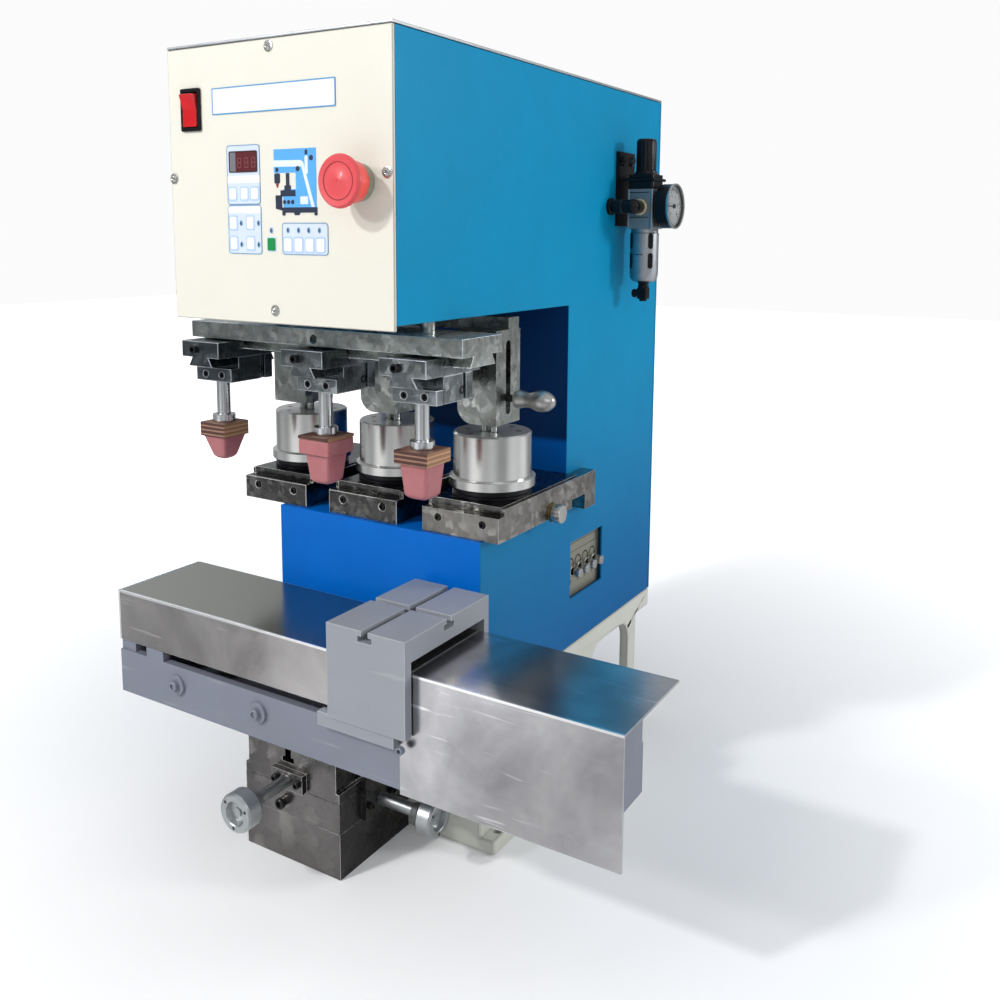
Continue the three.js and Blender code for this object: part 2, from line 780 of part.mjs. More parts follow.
function airBody() {
  const half = airBodyWidth / 2;
  const corner = airBodyWidth * 0.2;
  const housing = prism(roundedShape(-half, half, -half, half, corner), airBodyBottom, airBodyTop, xAxis, yAxis, zAxis);
  const blockHalf = airBonnetBlock / 2;
  const blockShape = roundedShape(-blockHalf, blockHalf, -blockHalf, blockHalf, corner / 2);
  const tongueBottom = airTongueHeight - airBracketSheet / 2 - seatGap;
  const tongueTop = airTongueHeight + airBracketSheet / 2 + seatGap;
  const bonnet = unite(rodZ(airBonnetRadius, airBodyTop - overrun, airBonnetTop, 0, 0, mediumSides),
    prism(blockShape, airBodyTop - overrun, tongueBottom, xAxis, yAxis, zAxis),
    prism(blockShape, tongueTop, tongueTop + airBonnetCap, xAxis, yAxis, zAxis));
  const guard = turned([
    [0, airDrainBottom], [airDrainRadius, airDrainBottom], [airDrainRadius, airGuardBottom],
    [airGuardRadius * 0.75, airGuardBottom], [airGuardRadius, airGuardBottom + airGuardRadius * 0.4],
    [airGuardRadius, airBodyBottom + overrun], [0, airBodyBottom + overrun],
  ], 'z', [0, 0, 0], mediumSides);
  const stub = rodY(airElbowRadius, -airElbowReach - airElbowRadius, 0, 0, airElbowHeight);
  const wall = halfWidth + seatGap - airX;
  const arm = rodX(airElbowRadius, wall, airElbowRadius * 0.8, -airElbowReach, airElbowHeight);
  const flange = rodX(airFlangeRadius, wall, wall + airFlangeLength, -airElbowReach, airElbowHeight, mediumSides);
  return piece('air_filter_body', unite(housing, bonnet, guard, stub, arm, flange), 'alloy', airX, airY, 0);
}

function airKnob() {
  const bottom = airBonnetTop + seatGap;
  const height = airKnobTop - bottom;
  let knob = turned([
    [0, bottom], [airKnobRadius, bottom], [airKnobRadius, bottom + height * 0.9],
    [airKnobRadius * 0.85, airKnobTop], [0, airKnobTop],
  ], 'z', [0, 0, 0], mediumSides);
  for (let i = 0; i < airKnobFlutes; i += 1) {
    const angle = (i / airKnobFlutes) * Math.PI * 2;
    const at = airKnobRadius + airFluteDepth;
    knob = knob.subtract(rodZ(airFluteDepth * 2, bottom + height * 0.15, airKnobTop + overrun,
      Math.cos(angle) * at, Math.sin(angle) * at, 8));
  }
  return piece('regulator_knob', knob, 'black', airX, airY, 0);
}

function gaugeCase() {
  const end = gaugeStart + gaugeDepth;
  const stemStart = airX + airBodyWidth / 2 + seatGap;
  const profile = [
    [0, stemStart], [gaugeStemRadius, stemStart], [gaugeStemRadius, gaugeStart],
    [gaugeRadius * 0.9, gaugeStart], [gaugeRadius, gaugeStart + gaugeRim],
    [gaugeRadius, end], [gaugeRadius - gaugeRim, end],
    [gaugeRadius - gaugeRim, end - gaugeRecess], [0, end - gaugeRecess],
  ];
  return piece('gauge_case', turned(profile, 'x', [0, 0, 0], largeSides), 'black', 0, airY, gaugeHeight);
}

function gaugeNeedle() {
  const face = gaugeStart + gaugeDepth - gaugeRecess + seatGap;
  const hub = rodX(needleHubRadius, face, face + needleThickness * 2, 0, 0);
  const hand = prismX([
    [-needleLength, -needleWidth / 4], [0, -needleWidth / 2], [needleLength * 0.25, 0],
    [0, needleWidth / 2], [-needleLength, needleWidth / 4],
  ], face + needleThickness / 2, face + needleThickness * 1.5);
  return piece('gauge_needle', hub.add(hand), 'black', 0, airY, gaugeHeight);
}

// Speed valve panel behind its window in the side, with four small knobs.
function valvePanel() {
  const face = halfWidth - valveRecess;
  const back = face - valvePanelThickness;
  const margin = valvePanelMargin;
  let panel = block(back, inner - seatGap, valveFront - margin, valveBack + margin,
    valveBottom - margin, valveTop + margin);
  panel = panel.subtract(block(face, inner + overrun, valveFront - margin / 2, valveBack + margin / 2,
    valveBottom - margin / 2, valveTop + margin / 2));
  for (let i = 0; i < valveKnobCount; i += 1) {
    panel = panel.subtract(rodX(valveStemRadius + seatGap, back - overrun, face + overrun,
      valveKnobFirst + i * valveKnobPitch, valveKnobHeight));
  }
  return piece('valve_panel', panel, 'steel');
}

function valveKnob(index) {
  const face = halfWidth - valveRecess + seatGap;
  const knob = rodX(valveKnobRadius, face, face + valveKnobLength, 0, 0, mediumSides);
  const stem = rodX(valveStemRadius, face - valvePanelThickness * 2, face + valveKnobLength / 2, 0, 0);
  return piece(`valve_knob_${index + 1}`, knob.add(stem), 'bright',
    0, valveKnobFirst + index * valveKnobPitch, valveKnobHeight);
}

// Section of a dovetail, wide at its free edge. A gap makes the matching groove.
function dovetail(centre, width, wideAt, rootAt, gap) {
  const rise = Math.sign(rootAt - wideAt);
  const height = Math.abs(rootAt - wideAt);
  const freeEdge = wideAt - rise * gap;
  const rootEdge = rootAt + rise * height * dovetailJoinShare;
  const free = width / 2 + gap + gap * dovetailSlopeShare;
  const root = width / 2 + gap - height * (1 + dovetailJoinShare) * dovetailSlopeShare;
  return [[centre - free, freeEdge], [centre + free, freeEdge], [centre + root, rootEdge], [centre - root, rootEdge]];
}

// Cliche trays on the deck: clamp block at the front, side rails, and an outer bar at the right end.
function clicheTray(station) {
  const half = trayWidth / 2;
  let tray = block(-half, half, trayFront, trayBack, trayBottom, trayTop);
  for (const side of [-1, 1]) {
    const near = side * (half - trayRailWidth);
    tray = tray.add(block(Math.min(near, side * half), Math.max(near, side * half),
      trayFront + trayClampDepth, trayBack, trayTop - overrun, trayTop + trayRailHeight));
    tray = tray.subtract(rodY(trayScrewRadius, trayFront - overrun, trayFront + trayScrewDepth,
      side * trayScrewSpacing / 2, trayTop - trayHeight * 0.35));
  }
  if (station === 1) {
    const wall = halfWidth + seatGap - gearX - pitch;
    const notchTop = trayBottom + outerBarNotchHeight;
    const bar = prismX([
      [outerBarNotchFront, notchTop], [outerBarBack - outerBarLegDepth, notchTop], [outerBarBack - outerBarLegDepth, trayBottom - outerBarLegDrop],
      [outerBarBack, trayBottom - outerBarLegDrop], [outerBarBack, trayTop + trayRailHeight],
      [outerBarNotchFront, trayTop + trayRailHeight],
    ], wall, half).subtract(block(wall - overrun, half - trayRailWidth,
      outerBarNotchFront - overrun, trayBack + seatGap, trayTop, trayTop + trayRailHeight + overrun));
    const relief = block(wall, half + overrun, outerBarNotchFront, trayBack + overrun, trayBottom - overrun, notchTop);
    const knobHole = rodX(trayKnobRadius / 2 + seatGap, half - trayKnobLength, half + overrun,
      trayKnobY, trayKnobHeight);
    tray = tray.subtract(relief).add(bar).subtract(knobHole);
  }
  return piece(`cliche_tray_${station + 2}`, tray, 'dark');
}

function clichePlate(station) {
  const half = trayWidth / 2 - trayRailWidth - seatGap;
  const plate = block(-half, half, trayFront + trayClampDepth, trayBack, trayTop + seatGap, clicheTop);
  return piece(`cliche_plate_${station + 2}`, plate, 'steel');
}

function trayKnob() {
  const start = trayWidth / 2 + seatGap;
  const knob = turned([
    [0, start - trayKnobLength * 0.7], [trayKnobRadius / 2, start - trayKnobLength * 0.7],
    [trayKnobRadius / 2, start], [trayKnobWasherRadius, start],
    [trayKnobWasherRadius, start + trayKnobWasherLength], [trayKnobRadius, start + trayKnobWasherLength],
    [trayKnobRadius, start + trayKnobLength], [0, start + trayKnobLength],
  ], 'x', [0, 0, 0], mediumSides);
  return piece('tray_clamp_knob', knob, 'bright', 0, trayKnobY, trayKnobHeight);
}

// Ink cup: turned body over a wider ring and a ceramic doctor ring, open below.
function inkCup(station) {
  const sealTop = cupBottom + cupSealHeight;
  const ringTop = sealTop + cupRingHeight;
  const groove = cupSealRadius - cupSealGroove;
  let cup = turned([
    [cupBodyRadius - cupWall, cupBottom], [cupSealRadius, cupBottom],
    [cupSealRadius, cupBottom + cupSealHeight * 0.35], [groove, cupBottom + cupSealHeight * 0.5],
    [groove, sealTop], [cupRingRadius, sealTop], [cupRingRadius, ringTop],
    [cupBodyRadius, ringTop], [cupBodyRadius, cupTop - cupChamfer], [cupBodyRadius - cupChamfer, cupTop],
    [0, cupTop], [0, cupTop - cupWall * 1.5], [cupBodyRadius - cupWall, cupTop - cupWall * 2],
    [cupBodyRadius - cupWall, cupBottom],
  ], 'z', [0, 0, 0], largeSides);
  for (const side of [-1, 1]) {
    cup = cup.subtract(rodZ(cupPinRadius + seatGap, cupTop - cupPinHoleDepth, cupTop + overrun,
      cupPinOffset + side * cupPinSpacing / 2, cupPinY - cupY));
  }
  cup = cup.subtract(block(cupBodyRadius * 0.62, cupBodyRadius + overrun,
    -cupBodyRadius * 0.62 - cupNotchWidth, -cupBodyRadius * 0.62, cupTop - cupNotchHeight, cupTop + overrun));
  return piece(`ink_cup_${station + 2}`, cup, 'bright', 0, cupY, 0);
}

// Cup bracket bar: the crossbar under the head and one hollow bracket for each cup.
function cupBracketBar() {
  const back = bracketFront + bracketDepth;
  let bar = block(gearX - pitch + bracketLeft, gearX + pitch + bracketRight,
    crossbarFront, crossbarFront + crossbarDepth, bracketTop, bracketTop + crossbarHeight);
  for (const station of stations) {
    const x = gearX + station * pitch;
    const corner = bracketCorners[station + 1];
    const shape = new THREE.Shape();
    shape.moveTo(bracketTop + overrun, bracketLeft);
    shape.lineTo(bracketBottom + corner, bracketLeft);
    shape.absarc(bracketBottom + corner, bracketLeft + corner, corner,
      -Math.PI / 2, -Math.PI, true);
    shape.lineTo(bracketBottom, bracketRight);
    shape.lineTo(bracketTop + overrun, bracketRight);
    const body = prism(shape, bracketFront, back, zAxis, xAxis, yAxis).translate([x, 0, 0]);
    const cavity = block(x + bracketLeft + bracketWall, x + bracketRight - bracketWall,
      bracketFront + bracketWall, back - bracketWall, bracketBottom - overrun, bracketTop - bracketWall);
    const slotHalf = bracketSlotWidth / 2;
    const slot = prism(roundedShape(bracketSlotY - slotHalf, bracketSlotY + slotHalf,
      bracketSlotBottom, bracketSlotTop, slotHalf * 0.99), x + bracketRight - bracketWall - overrun,
    x + bracketRight + overrun, yAxis, zAxis, xAxis);
    bar = bar.add(body).subtract(cavity).subtract(slot);
  }
  return piece('cup_bracket_bar', bar, 'steel');
}

// Cup drive: block that slides inside its bracket, with two pins that enter the cup's top.
function cupDrive(station) {
  const left = bracketLeft + bracketWall + seatGap;
  const right = bracketRight - bracketWall - seatGap;
  let drive = block(left, right, bracketFront + bracketWall + seatGap,
    bracketFront + bracketDepth - bracketWall - seatGap,
    driveBlockBottom, driveBlockBottom + driveBlockHeight);
  for (const side of [-1, 1]) {
    drive = drive.add(rodZ(cupPinRadius, cupTop - cupPinEngagement, driveBlockBottom + overrun,
      cupPinOffset + side * cupPinSpacing / 2, cupPinY));
  }
  drive = drive.subtract(rodX(handleStubRadius + seatGap, right - handleStubDepth - seatGap, right + overrun,
    bracketSlotY, handleHeight));
  return piece(`cup_drive_${station + 2}`, drive, 'steel');
}

// Clamp handle: stud and waisted grip, turned about X.
function clampHandle(station) {
  const start = bracketRight - bracketWall - seatGap - handleStubDepth;
  const grip = bracketRight + handleStubLength;
  const profile = [
    [0, start], [handleStubRadius, start], [handleStubRadius, grip], [handleFootRadius * 0.86, grip],
    [handleFootRadius, grip + handleLength * 0.04], [handleFootRadius * 0.96, grip + handleLength * 0.12],
    [handleNeckRadius, grip + handleLength * 0.32], [handleNeckRadius * 1.1, grip + handleLength * 0.43],
    [handleEggRadius * 0.93, grip + handleLength * 0.54], [handleEggRadius, grip + handleLength * 0.68],
    [handleEggRadius * 0.88, grip + handleLength * 0.83], [handleEggRadius * 0.5, grip + handleLength * 0.96],
    [0, grip + handleLength],
  ];
  return piece(`clamp_handle_${station + 2}`, turned(profile, 'x', [0, 0, 0], mediumSides), 'bright',
    0, bracketSlotY, handleHeight);
}

// Head guide rail, lying on the shell's two cross members.
function headGuideRail() {
  const half = guideRailWidth / 2;
  return piece('head_guide_rail', block(-half, half, guideRailFront, guideRailBack,
    guideRailBottom, guideRailBottom + guideRailHeight), 'steel');
}

// Head carriage: sleeve on the rail, bridge with the rod bushes, and two posts down to the crossbar.
function headCarriage() {
  const sleeveHalf = guideRailWidth / 2 + carriageSleeveWall;
  const bridgeTop = carriageBridgeBottom + carriageBridgeHeight;
  const bridgeHalf = rodSpacing / 2 + rodBossRadius;
  let body = block(-sleeveHalf, sleeveHalf, carriageFront, carriageBack, bridgeTop - overrun,
    guideRailBottom + guideRailHeight + carriageSleeveWall);
  body = body.add(block(-bridgeHalf, bridgeHalf, carriageFront, carriageBack,
    carriageBridgeBottom, bridgeTop));
  const hole = guideRailWidth / 2 + seatGap;
  body = body.subtract(block(-hole, hole, carriageFront - overrun, carriageBack + overrun,
    guideRailBottom - seatGap, guideRailBottom + guideRailHeight + seatGap));
  for (const side of [-1, 1]) {
    const x = side * postSpacing / 2;
    body = body.add(block(x - postWidth / 2, x + postWidth / 2, crossbarFront, crossbarFront + crossbarDepth,
      bracketTop + crossbarHeight + seatGap, carriageBridgeBottom + overrun));
    body = body.subtract(rodZ(rodRadius + boreClearance, carriageBridgeBottom - overrun, bridgeTop + overrun,
      side * rodSpacing / 2, guideRodY));
  }
  body = body.subtract(rodZ(liftRodRadius + boreClearance, carriageBridgeBottom - overrun,
    liftRodTop + boreClearance, 0, guideRodY));
  return piece('head_carriage', body, 'grey');
}

// Pad plate: thick bar with a dovetail tongue along its underside, two guide rods and the lift rod.
function padPlate() {
  const left = gearX + padPlateShift - padPlateWidth / 2;
  const right = left + padPlateWidth;
  let plate = block(left, right, padPlateFront, padPlateBack, padPlateBottom, padPlateTop);
  plate = plate.add(prismX(dovetail(tongueY, tongueWidth, padPlateBottom - tongueHeight, padPlateBottom, 0),
    left, right));
  for (const side of [-1, 1]) {
    plate = plate.add(rodZ(rodRadius, padPlateTop - overrun, rodTop, side * rodSpacing / 2, guideRodY));
  }
  plate = plate.add(rodZ(liftRodRadius, padPlateTop - overrun, liftRodTop, 0, guideRodY));
  plate = plate.subtract(rodY(padPlateHoleRadius, padPlateFront - overrun, padPlateFront + padPlateHoleDepth,
    padPlateHoleX, padPlateTop - padPlateThickness * 0.6, 6));
  return piece('pad_plate', plate, 'steel');
}

// Holder block: clamps on the plate's tongue and carries a crosswise tongue below.
function holderBlock(station) {
  const half = holderWidth / 2;
  let body = block(-half, half, holderFront, holderBack, holderBottom, holderTop);
  body = body.subtract(prismX(dovetail(tongueY, tongueWidth, padPlateBottom - tongueHeight, padPlateBottom, seatGap),
    -half - overrun, half + overrun));
  body = body.add(prismY(dovetail(0, holderTongueWidth, holderBottom - holderTongueHeight, holderBottom, 0),
    holderFront, holderBack));
  body = body.subtract(rodY(holderScrewRadius, holderFront - overrun, holderFront + holderScrewDepth,
    -half * 0.2, (holderBottom + holderTop) / 2));
  return piece(`holder_block_${station + 2}`, body, 'steel');
}

// Holder slide: rides on the crosswise tongue and grips the pad spindle with two screws.
function holderSlide(station) {
  const half = slideWidth / 2;
  const front = padReachY[station + 1] - spindleInset;
  const back = front + slideDepth;
  let body = block(-half, half, front + slidePlateDepth, back, slideBottom, slideTop);
  body = body.add(block(-half, half, front, front + slidePlateDepth + overrun,
    slideBottom, slideBottom + slidePlateHeight));
  body = body.subtract(prismY(dovetail(0, holderTongueWidth, holderBottom - holderTongueHeight, holderBottom, seatGap),
    front - overrun, back + overrun));
  body = body.subtract(block(half - slideGrooveDepth, half + overrun,
    back - slideGrooveSetback - slideGrooveWidth, back - slideGrooveSetback,
    slideBottom - overrun, slideTop + overrun));
  for (const side of [-1, 1]) {
    body = body.subtract(rodY(slideScrewRadius, front - overrun, front + holderScrewDepth,
      side * slideScrewSpacing / 2, slideBottom + slidePlateHeight / 2));
  }
  const y = padReachY[station + 1];
  const spindle = rodZ(spindleRadius, spindleBottom, slideBottom + overrun, 0, y, mediumSides);
  const collar = rodZ(spindleCollarRadius, spindleBottom, spindleBottom + spindleCollarHeight, 0, y, mediumSides);
  return piece(`holder_slide_${station + 2}`, unite(body, spindle, collar), 'steel');
}

function padBoard(station) {
  const i = station + 1;
  const half = boardWidth[i] / 2;
  const board = block(-half, half, -half, half, padSeat - boardThickness[i], padSeat);
  return piece(`pad_board_${i + 1}`, board, 'wood', 0, padReachY[i], 0);
}

// Silicone pad: a square block that narrows to a rounded tip, under its board.
function siliconePad(station) {
  const i = station + 1;
  const top = padSeat - boardThickness[i] - seatGap;
  const neck = top - padHeadThickness[i];
  const steps = 6;
  const sides = 24;
  const positions = [];
  const rings = [];
  const addRing = (half, z, squareness) => {
    const ring = [];
    for (let s = 0; s < sides; s += 1) {
      const a = (s / sides) * Math.PI * 2;
      const c = Math.cos(a);
      const d = Math.sin(a);
      const reach = half / Math.pow(Math.pow(Math.abs(c), squareness) + Math.pow(Math.abs(d), squareness), 1 / squareness);
      ring.push(positions.length / 3);
      positions.push(c * reach, d * reach, z);
    }
    rings.push(ring);
  };
  const topHalf = padTopWidth[i] / 2;
  const tipHalf = topHalf * padTipShare[i];
  const length = padLength[i];
  for (let s = 0; s <= steps; s += 1) {
    const share = s / steps;
    const half = topHalf + (tipHalf - topHalf) * share;
    addRing(half, neck - (length - padTipBulge) * share, 9 - 3 * share);
  }
  for (const [share, width] of [[0.45, 0.86], [0.8, 0.62], [0.97, 0.3]]) {
    addRing(tipHalf * width, neck - (length - padTipBulge) - padTipBulge * share, 5);
  }
  const index = [];
  for (let r = 0; r + 1 < rings.length; r += 1) {
    for (let s = 0; s < sides; s += 1) {
      const n = (s + 1) % sides;
      index.push(rings[r][s], rings[r + 1][n], rings[r][n], rings[r][s], rings[r + 1][s], rings[r + 1][n]);
    }
  }
  const topCentre = positions.length / 3;
  positions.push(0, 0, neck);
  const tipCentre = positions.length / 3;
  positions.push(0, 0, neck - length);
  for (let s = 0; s < sides; s += 1) {
    const n = (s + 1) % sides;
    index.push(topCentre, rings[0][s], rings[0][n]);
    index.push(tipCentre, rings[rings.length - 1][n], rings[rings.length - 1][s]);
  }
  const geometry = new THREE.BufferGeometry();
  geometry.setAttribute('position', new THREE.BufferAttribute(new Float32Array(positions), 3));
  geometry.setIndex(index);
  let pad = solidOf(geometry);
  if (padHeadThickness[i] > 0) {
    const headHalf = boardWidth[i] / 2;
    pad = pad.add(block(-headHalf, headHalf, -headHalf, headHalf, neck - overrun / 4, top));
  }
  return piece(`silicone_pad_${i + 1}`, pad, 'rubber', 0, padReachY[i], 0);
}

// Pedestal: steel block against the base, with the dovetail and nut of the sideways slide.
function pedestalBlock() {
  const left = gearX - pedestalWidth / 2;
  const right = gearX + pedestalWidth / 2;
  let body = block(left, right, pedestalFront, pedestalBack, 0, pedestalHeight);
  body = body.add(prismX(dovetail(screwY, guideTongueWidth, pedestalHeight + guideTongueHeight, pedestalHeight, 0),
    left + guideEndWall, right - guideEndWall - xTravel - seatGap));
  body = body.add(block(gearX - nutLength / 2, gearX + nutLength / 2, screwY - nutWidth / 2, screwY + nutWidth / 2,
    pedestalHeight, xScrewHeight + nutRise));
  body = body.subtract(rodX(screwRadius + boreClearance, left, right, screwY, xScrewHeight));
  return piece('pedestal_block', body, 'dark');
}

// Sideways cross slide: moves along X on the pedestal, driven by the right handwheel.
function crossSlideX() {
  const left = gearX - pedestalWidth / 2;
  const right = gearX + pedestalWidth / 2;
  const bottom = pedestalHeight + seatGap;
  let body = block(left, right, pedestalFront, pedestalBack, bottom, crossXTop);
  body = body.subtract(prismX(dovetail(screwY, guideTongueWidth, pedestalHeight + guideTongueHeight,
    pedestalHeight, seatGap), left - overrun, right - guideEndWall));
  const pocket = nutLength / 2 + xTravel + seatGap;
  body = body.subtract(block(gearX - pocket, gearX + pocket, screwY - nutWidth / 2 - seatGap,
    screwY + nutWidth / 2 + seatGap, bottom - overrun, xScrewHeight + nutRise + seatGap));
  body = body.add(prismY(dovetail(gearX, guideTongueWidth, crossXTop + guideTongueHeight, crossXTop, 0),
    pedestalFront + guideEndWall + yTravelBack + seatGap, pedestalBack));
  body = body.add(block(gearX - nutWidth / 2, gearX + nutWidth / 2, screwY - nutLength / 2, screwY + nutLength / 2,
    crossXTop, yScrewHeight + nutRise));
  const bearing = block(right - overrun / 2, right + bearingPlateDepth, screwY - sideBearingWidth / 2,
    screwY + sideBearingWidth / 2, bottom, crossXTop)
    .add(block(right, right + bearingPlateDepth, screwY - sideBearingWidth / 2,
      screwY + sideBearingWidth / 2, crossXTop - overrun, sideBearingTop));
  body = body.add(bearing);
  body = body.add(rodY(lockScrewRadius, pedestalFront - lockScrewLength, pedestalFront + overrun,
    lockScrewX, lockScrewHeight));
  const screwEnd = gearX - nutLength / 2 - xTravel - overrun;
  body = body.subtract(rodX(screwRadius + boreClearance, screwEnd, right + bearingPlateDepth + overrun,
    screwY, xScrewHeight));
  body = body.subtract(rodY(screwRadius + boreClearance, pedestalFront - overrun, pedestalBack + overrun,
    gearX, yScrewHeight));
  return piece('cross_slide_x', body, 'dark');
}

// A T-slot cut open at the top.
function slotCut(low, high, neck, foot, neckDepth, footDepth, centre, top, along) {
  const prismFor = along === 'x' ? prismX : prismY;
  return prismFor([
    [centre - neck / 2, top + overrun], [centre - neck / 2, top - neckDepth],
    [centre - foot / 2, top - neckDepth], [centre - foot / 2, top - neckDepth - footDepth],
    [centre + foot / 2, top - neckDepth - footDepth], [centre + foot / 2, top - neckDepth],
    [centre + neck / 2, top - neckDepth], [centre + neck / 2, top + overrun],
  ], low, high);
}

// Fore-and-aft cross slide: moves along Y on the first one and carries the shuttle rail.
function crossSlideY() {
  const left = gearX - pedestalWidth / 2;
  const right = gearX + pedestalWidth / 2;
  const bottom = crossXTop + seatGap;
  let body = block(left, right - seatGap, pedestalFront, crossYBack, bottom, crossStepHeight);
  body = body.add(block(left + crossStepInset, right - crossStepInset, pedestalFront, crossYBack,
    crossStepHeight - overrun, crossYTop));
  body = body.subtract(prismY(dovetail(gearX, guideTongueWidth, crossXTop + guideTongueHeight, crossXTop, seatGap),
    pedestalFront + guideEndWall, crossYBack + overrun));
  body = body.subtract(block(gearX - nutWidth / 2 - seatGap, gearX + nutWidth / 2 + seatGap,
    screwY - nutLength / 2 - yTravelBack - seatGap, screwY + nutLength / 2 + yTravelFront + seatGap,
    bottom - overrun, yScrewHeight + nutRise + seatGap));
  body = body.subtract(slotCut(pedestalFront - overrun, crossYBack + overrun, slotNeck, slotFoot,
    crossYTop - yScrewHeight - nutRise - slotFootDepth * 2, slotFootDepth, gearX - slotNeck / 2, crossYTop, 'y'));
  body = body.add(block(gearX - bearingPlateWidth / 2, gearX + bearingPlateWidth / 2,
    pedestalFront - bearingPlateDepth, pedestalFront + overrun, bottom + seatGap,
    bottom + seatGap + bearingPlateHeight));
  body = body.subtract(rodY(screwRadius + boreClearance, pedestalFront - bearingPlateDepth - overrun,
    screwY + nutLength / 2 + yTravelFront + overrun, gearX, yScrewHeight));
  return piece('cross_slide_y', body, 'dark');
}

// Handwheel with its hub, shaft and feed screw, turned about its own axis.
function handwheel(name, axis, centre, screwLength, reach) {
  const outward = axis === 'y' ? -1 : 1;
  const face = outward * bearingPlateDepth + outward * seatGap;
  const hubStart = outward * (reach - wheelHubLength);
  const disc = outward * reach;
  const end = outward * (reach + wheelThickness);
  const profile = [
    [0, -outward * screwLength], [screwRadius, -outward * screwLength], [screwRadius, face],
    [wheelShaftRadius, face], [wheelShaftRadius, hubStart], [wheelHubRadius, hubStart + outward * overrun],
    [wheelHubRadius, disc], [wheelRadius * 0.9, disc], [wheelRadius, disc + outward * wheelThickness * 0.15],
    [wheelRadius, end - outward * wheelThickness * 0.15], [wheelRadius * 0.9, end],
    [wheelRecessRadius, end], [wheelRecessRadius * 0.8, end - outward * wheelRecessDepth],
    [0, end - outward * wheelRecessDepth],
  ];
  if (outward < 0) profile.reverse();
  return piece(name, turned(profile, axis, [0, 0, 0], mediumSides), 'alloy', ...centre);
}

// Shuttle rail: open channel with end posts, a spacer in its long slot and a stop post.
function shuttleRail() {
  const postTop = shuttleCoverTop - shuttleCoverSheet - seatGap;
  const postFront = railFront + shuttleCoverSheet + seatGap;
  const postBack = railBack - shuttleCoverSheet - seatGap;
  let rail = block(railLeft, railRight, railFront, railBack, railBottom, railBottom + railPlate);
  rail = rail.add(block(railLeft, railRight, railFront, railFront + railPlate, railBottom, railPlateTop));
  rail = rail.add(block(railLeft, railRight, railBack - railPlate, railBack, railBottom, railPlateTop));
  for (const x of [railLeft, railStopX, railRight - railPostWidth]) {
    rail = rail.add(block(x, x + railPostWidth, postFront, postBack, railBottom, postTop));
  }
  const spacer = railLeft + railPostWidth + railWindowWidth;
  rail = rail.add(block(spacer, spacer + railBlockWidth, railFront, railFront + railPlate,
    railPlateTop - overrun, leftCoverBottom - seatGap));
  for (let i = 0; i < 2; i += 1) {
    const x = railBoltFirstX + i * railBoltSpacing;
    rail = rail.add(rodY(railBoltWasher, railFront - railPlate / 4, railFront + overrun, x, railBoltHeight, mediumSides));
    rail = rail.add(rodY(railBoltRadius, railFront - railPlate * 0.75, railFront + overrun, x, railBoltHeight));
  }
  return piece('shuttle_rail', rail, 'grey');
}

function leftCover() {
  const t = shuttleCoverSheet;
  const section = [
    [railFront, leftCoverBottom], [railFront, shuttleCoverTop], [railBack, shuttleCoverTop],
    [railBack, leftCoverBottom], [railBack - t, leftCoverBottom], [railBack - t, shuttleCoverTop - t],
    [railFront + t, shuttleCoverTop - t], [railFront + t, leftCoverBottom],
  ];
  return piece('shuttle_cover_left', prismX(section, railLeft, coverSeam), 'stainless');
}

// Right cover: top sheet and a deep front flange that runs on under the table's edge.
function rightCover() {
  const t = shuttleCoverSheet;
  const front = railFront - seatGap - t;
  const start = coverSeam + seatGap;
  const top = block(start, rightCoverEnd, front, railBack, shuttleCoverTop - t, shuttleCoverTop);
  const flange = block(rightFlangeStart, rightCoverEnd, front, front + t, rightCoverBottom, shuttleCoverTop);
  return piece('shuttle_cover_right', top.add(flange), 'stainless');
}

// Shuttle table: saddle over the covers with crossed T-slots, closed below by its carriage plate.
function shuttleTable() {
  const tongueBottom = railPlateTop + seatGap;
  const stripBottom = tableSkirtBottom - tableStripHeight;
  const stripBack = railFront - seatGap * 2;
  let table = block(tableLeft, tableRight, tableFront, tableBack, tableSkirtBottom, tableTop);
  table = table.subtract(block(tableLeft - overrun, tableRight + overrun, tableFront + tableFrontWall,
    tableBack - tableBackWall, tableSkirtBottom - overrun, tableTunnelTop));
  table = table.subtract(slotCut(tableFront - overrun, tableBack + overrun, tableSlotNeck, tableSlotFoot,
    tableSlotNeckDepth, tableSlotFootDepth, tableX, tableTop, 'y'));
  table = table.subtract(slotCut(tableLeft - overrun, tableRight + overrun, tableSlotNeck, tableSlotFoot,
    tableSlotNeckDepth, tableSlotFootDepth, tableSlotY, tableTop, 'x'));
  const stripRight = railStopX - overrun;
  table = table.add(block(tableLeft - tableStripLead, stripRight, tableFront + tableStripHeight / 4,
    stripBack, stripBottom, tableSkirtBottom + overrun / 4));
  table = table.add(block(tableLeft + tableTongueLead, stripRight, tableFront + tableStripHeight / 4,
    tableBack, tongueBottom, tableSkirtBottom + overrun / 4));
  return piece('shuttle_table', table, 'grey');
}

// Puts the pieces together: each printing station is a group at its own place along X.
machine.add(baseCasting(), cabinetShell(), frontPanel(), topCover(), rearCover());
machine.add(rockerBezel(), powerRocker(), stopCollar(), stopButton());
machine.add(airBracket(), airBody(), airKnob(), gaugeCase(), gaugeNeedle());
machine.add(valvePanel());
for (let i = 0; i < valveKnobCount; i += 1) machine.add(valveKnob(i));
machine.add(headGuideRail(), headCarriage(), padPlate(), cupBracketBar());
for (const station of stations) {
  const place = new THREE.Group();
  place.position.x = gearX + station * pitch;
  place.add(clicheTray(station), clichePlate(station), inkCup(station));
  place.add(cupDrive(station), clampHandle(station));
  if (station === 1) place.add(trayKnob());
  machine.add(place);
  const holder = new THREE.Group();
  holder.position.x = gearX + station * pitch + padShiftX[station + 1];
  holder.add(holderBlock(station), holderSlide(station), padBoard(station), siliconePad(station));
  machine.add(holder);
}
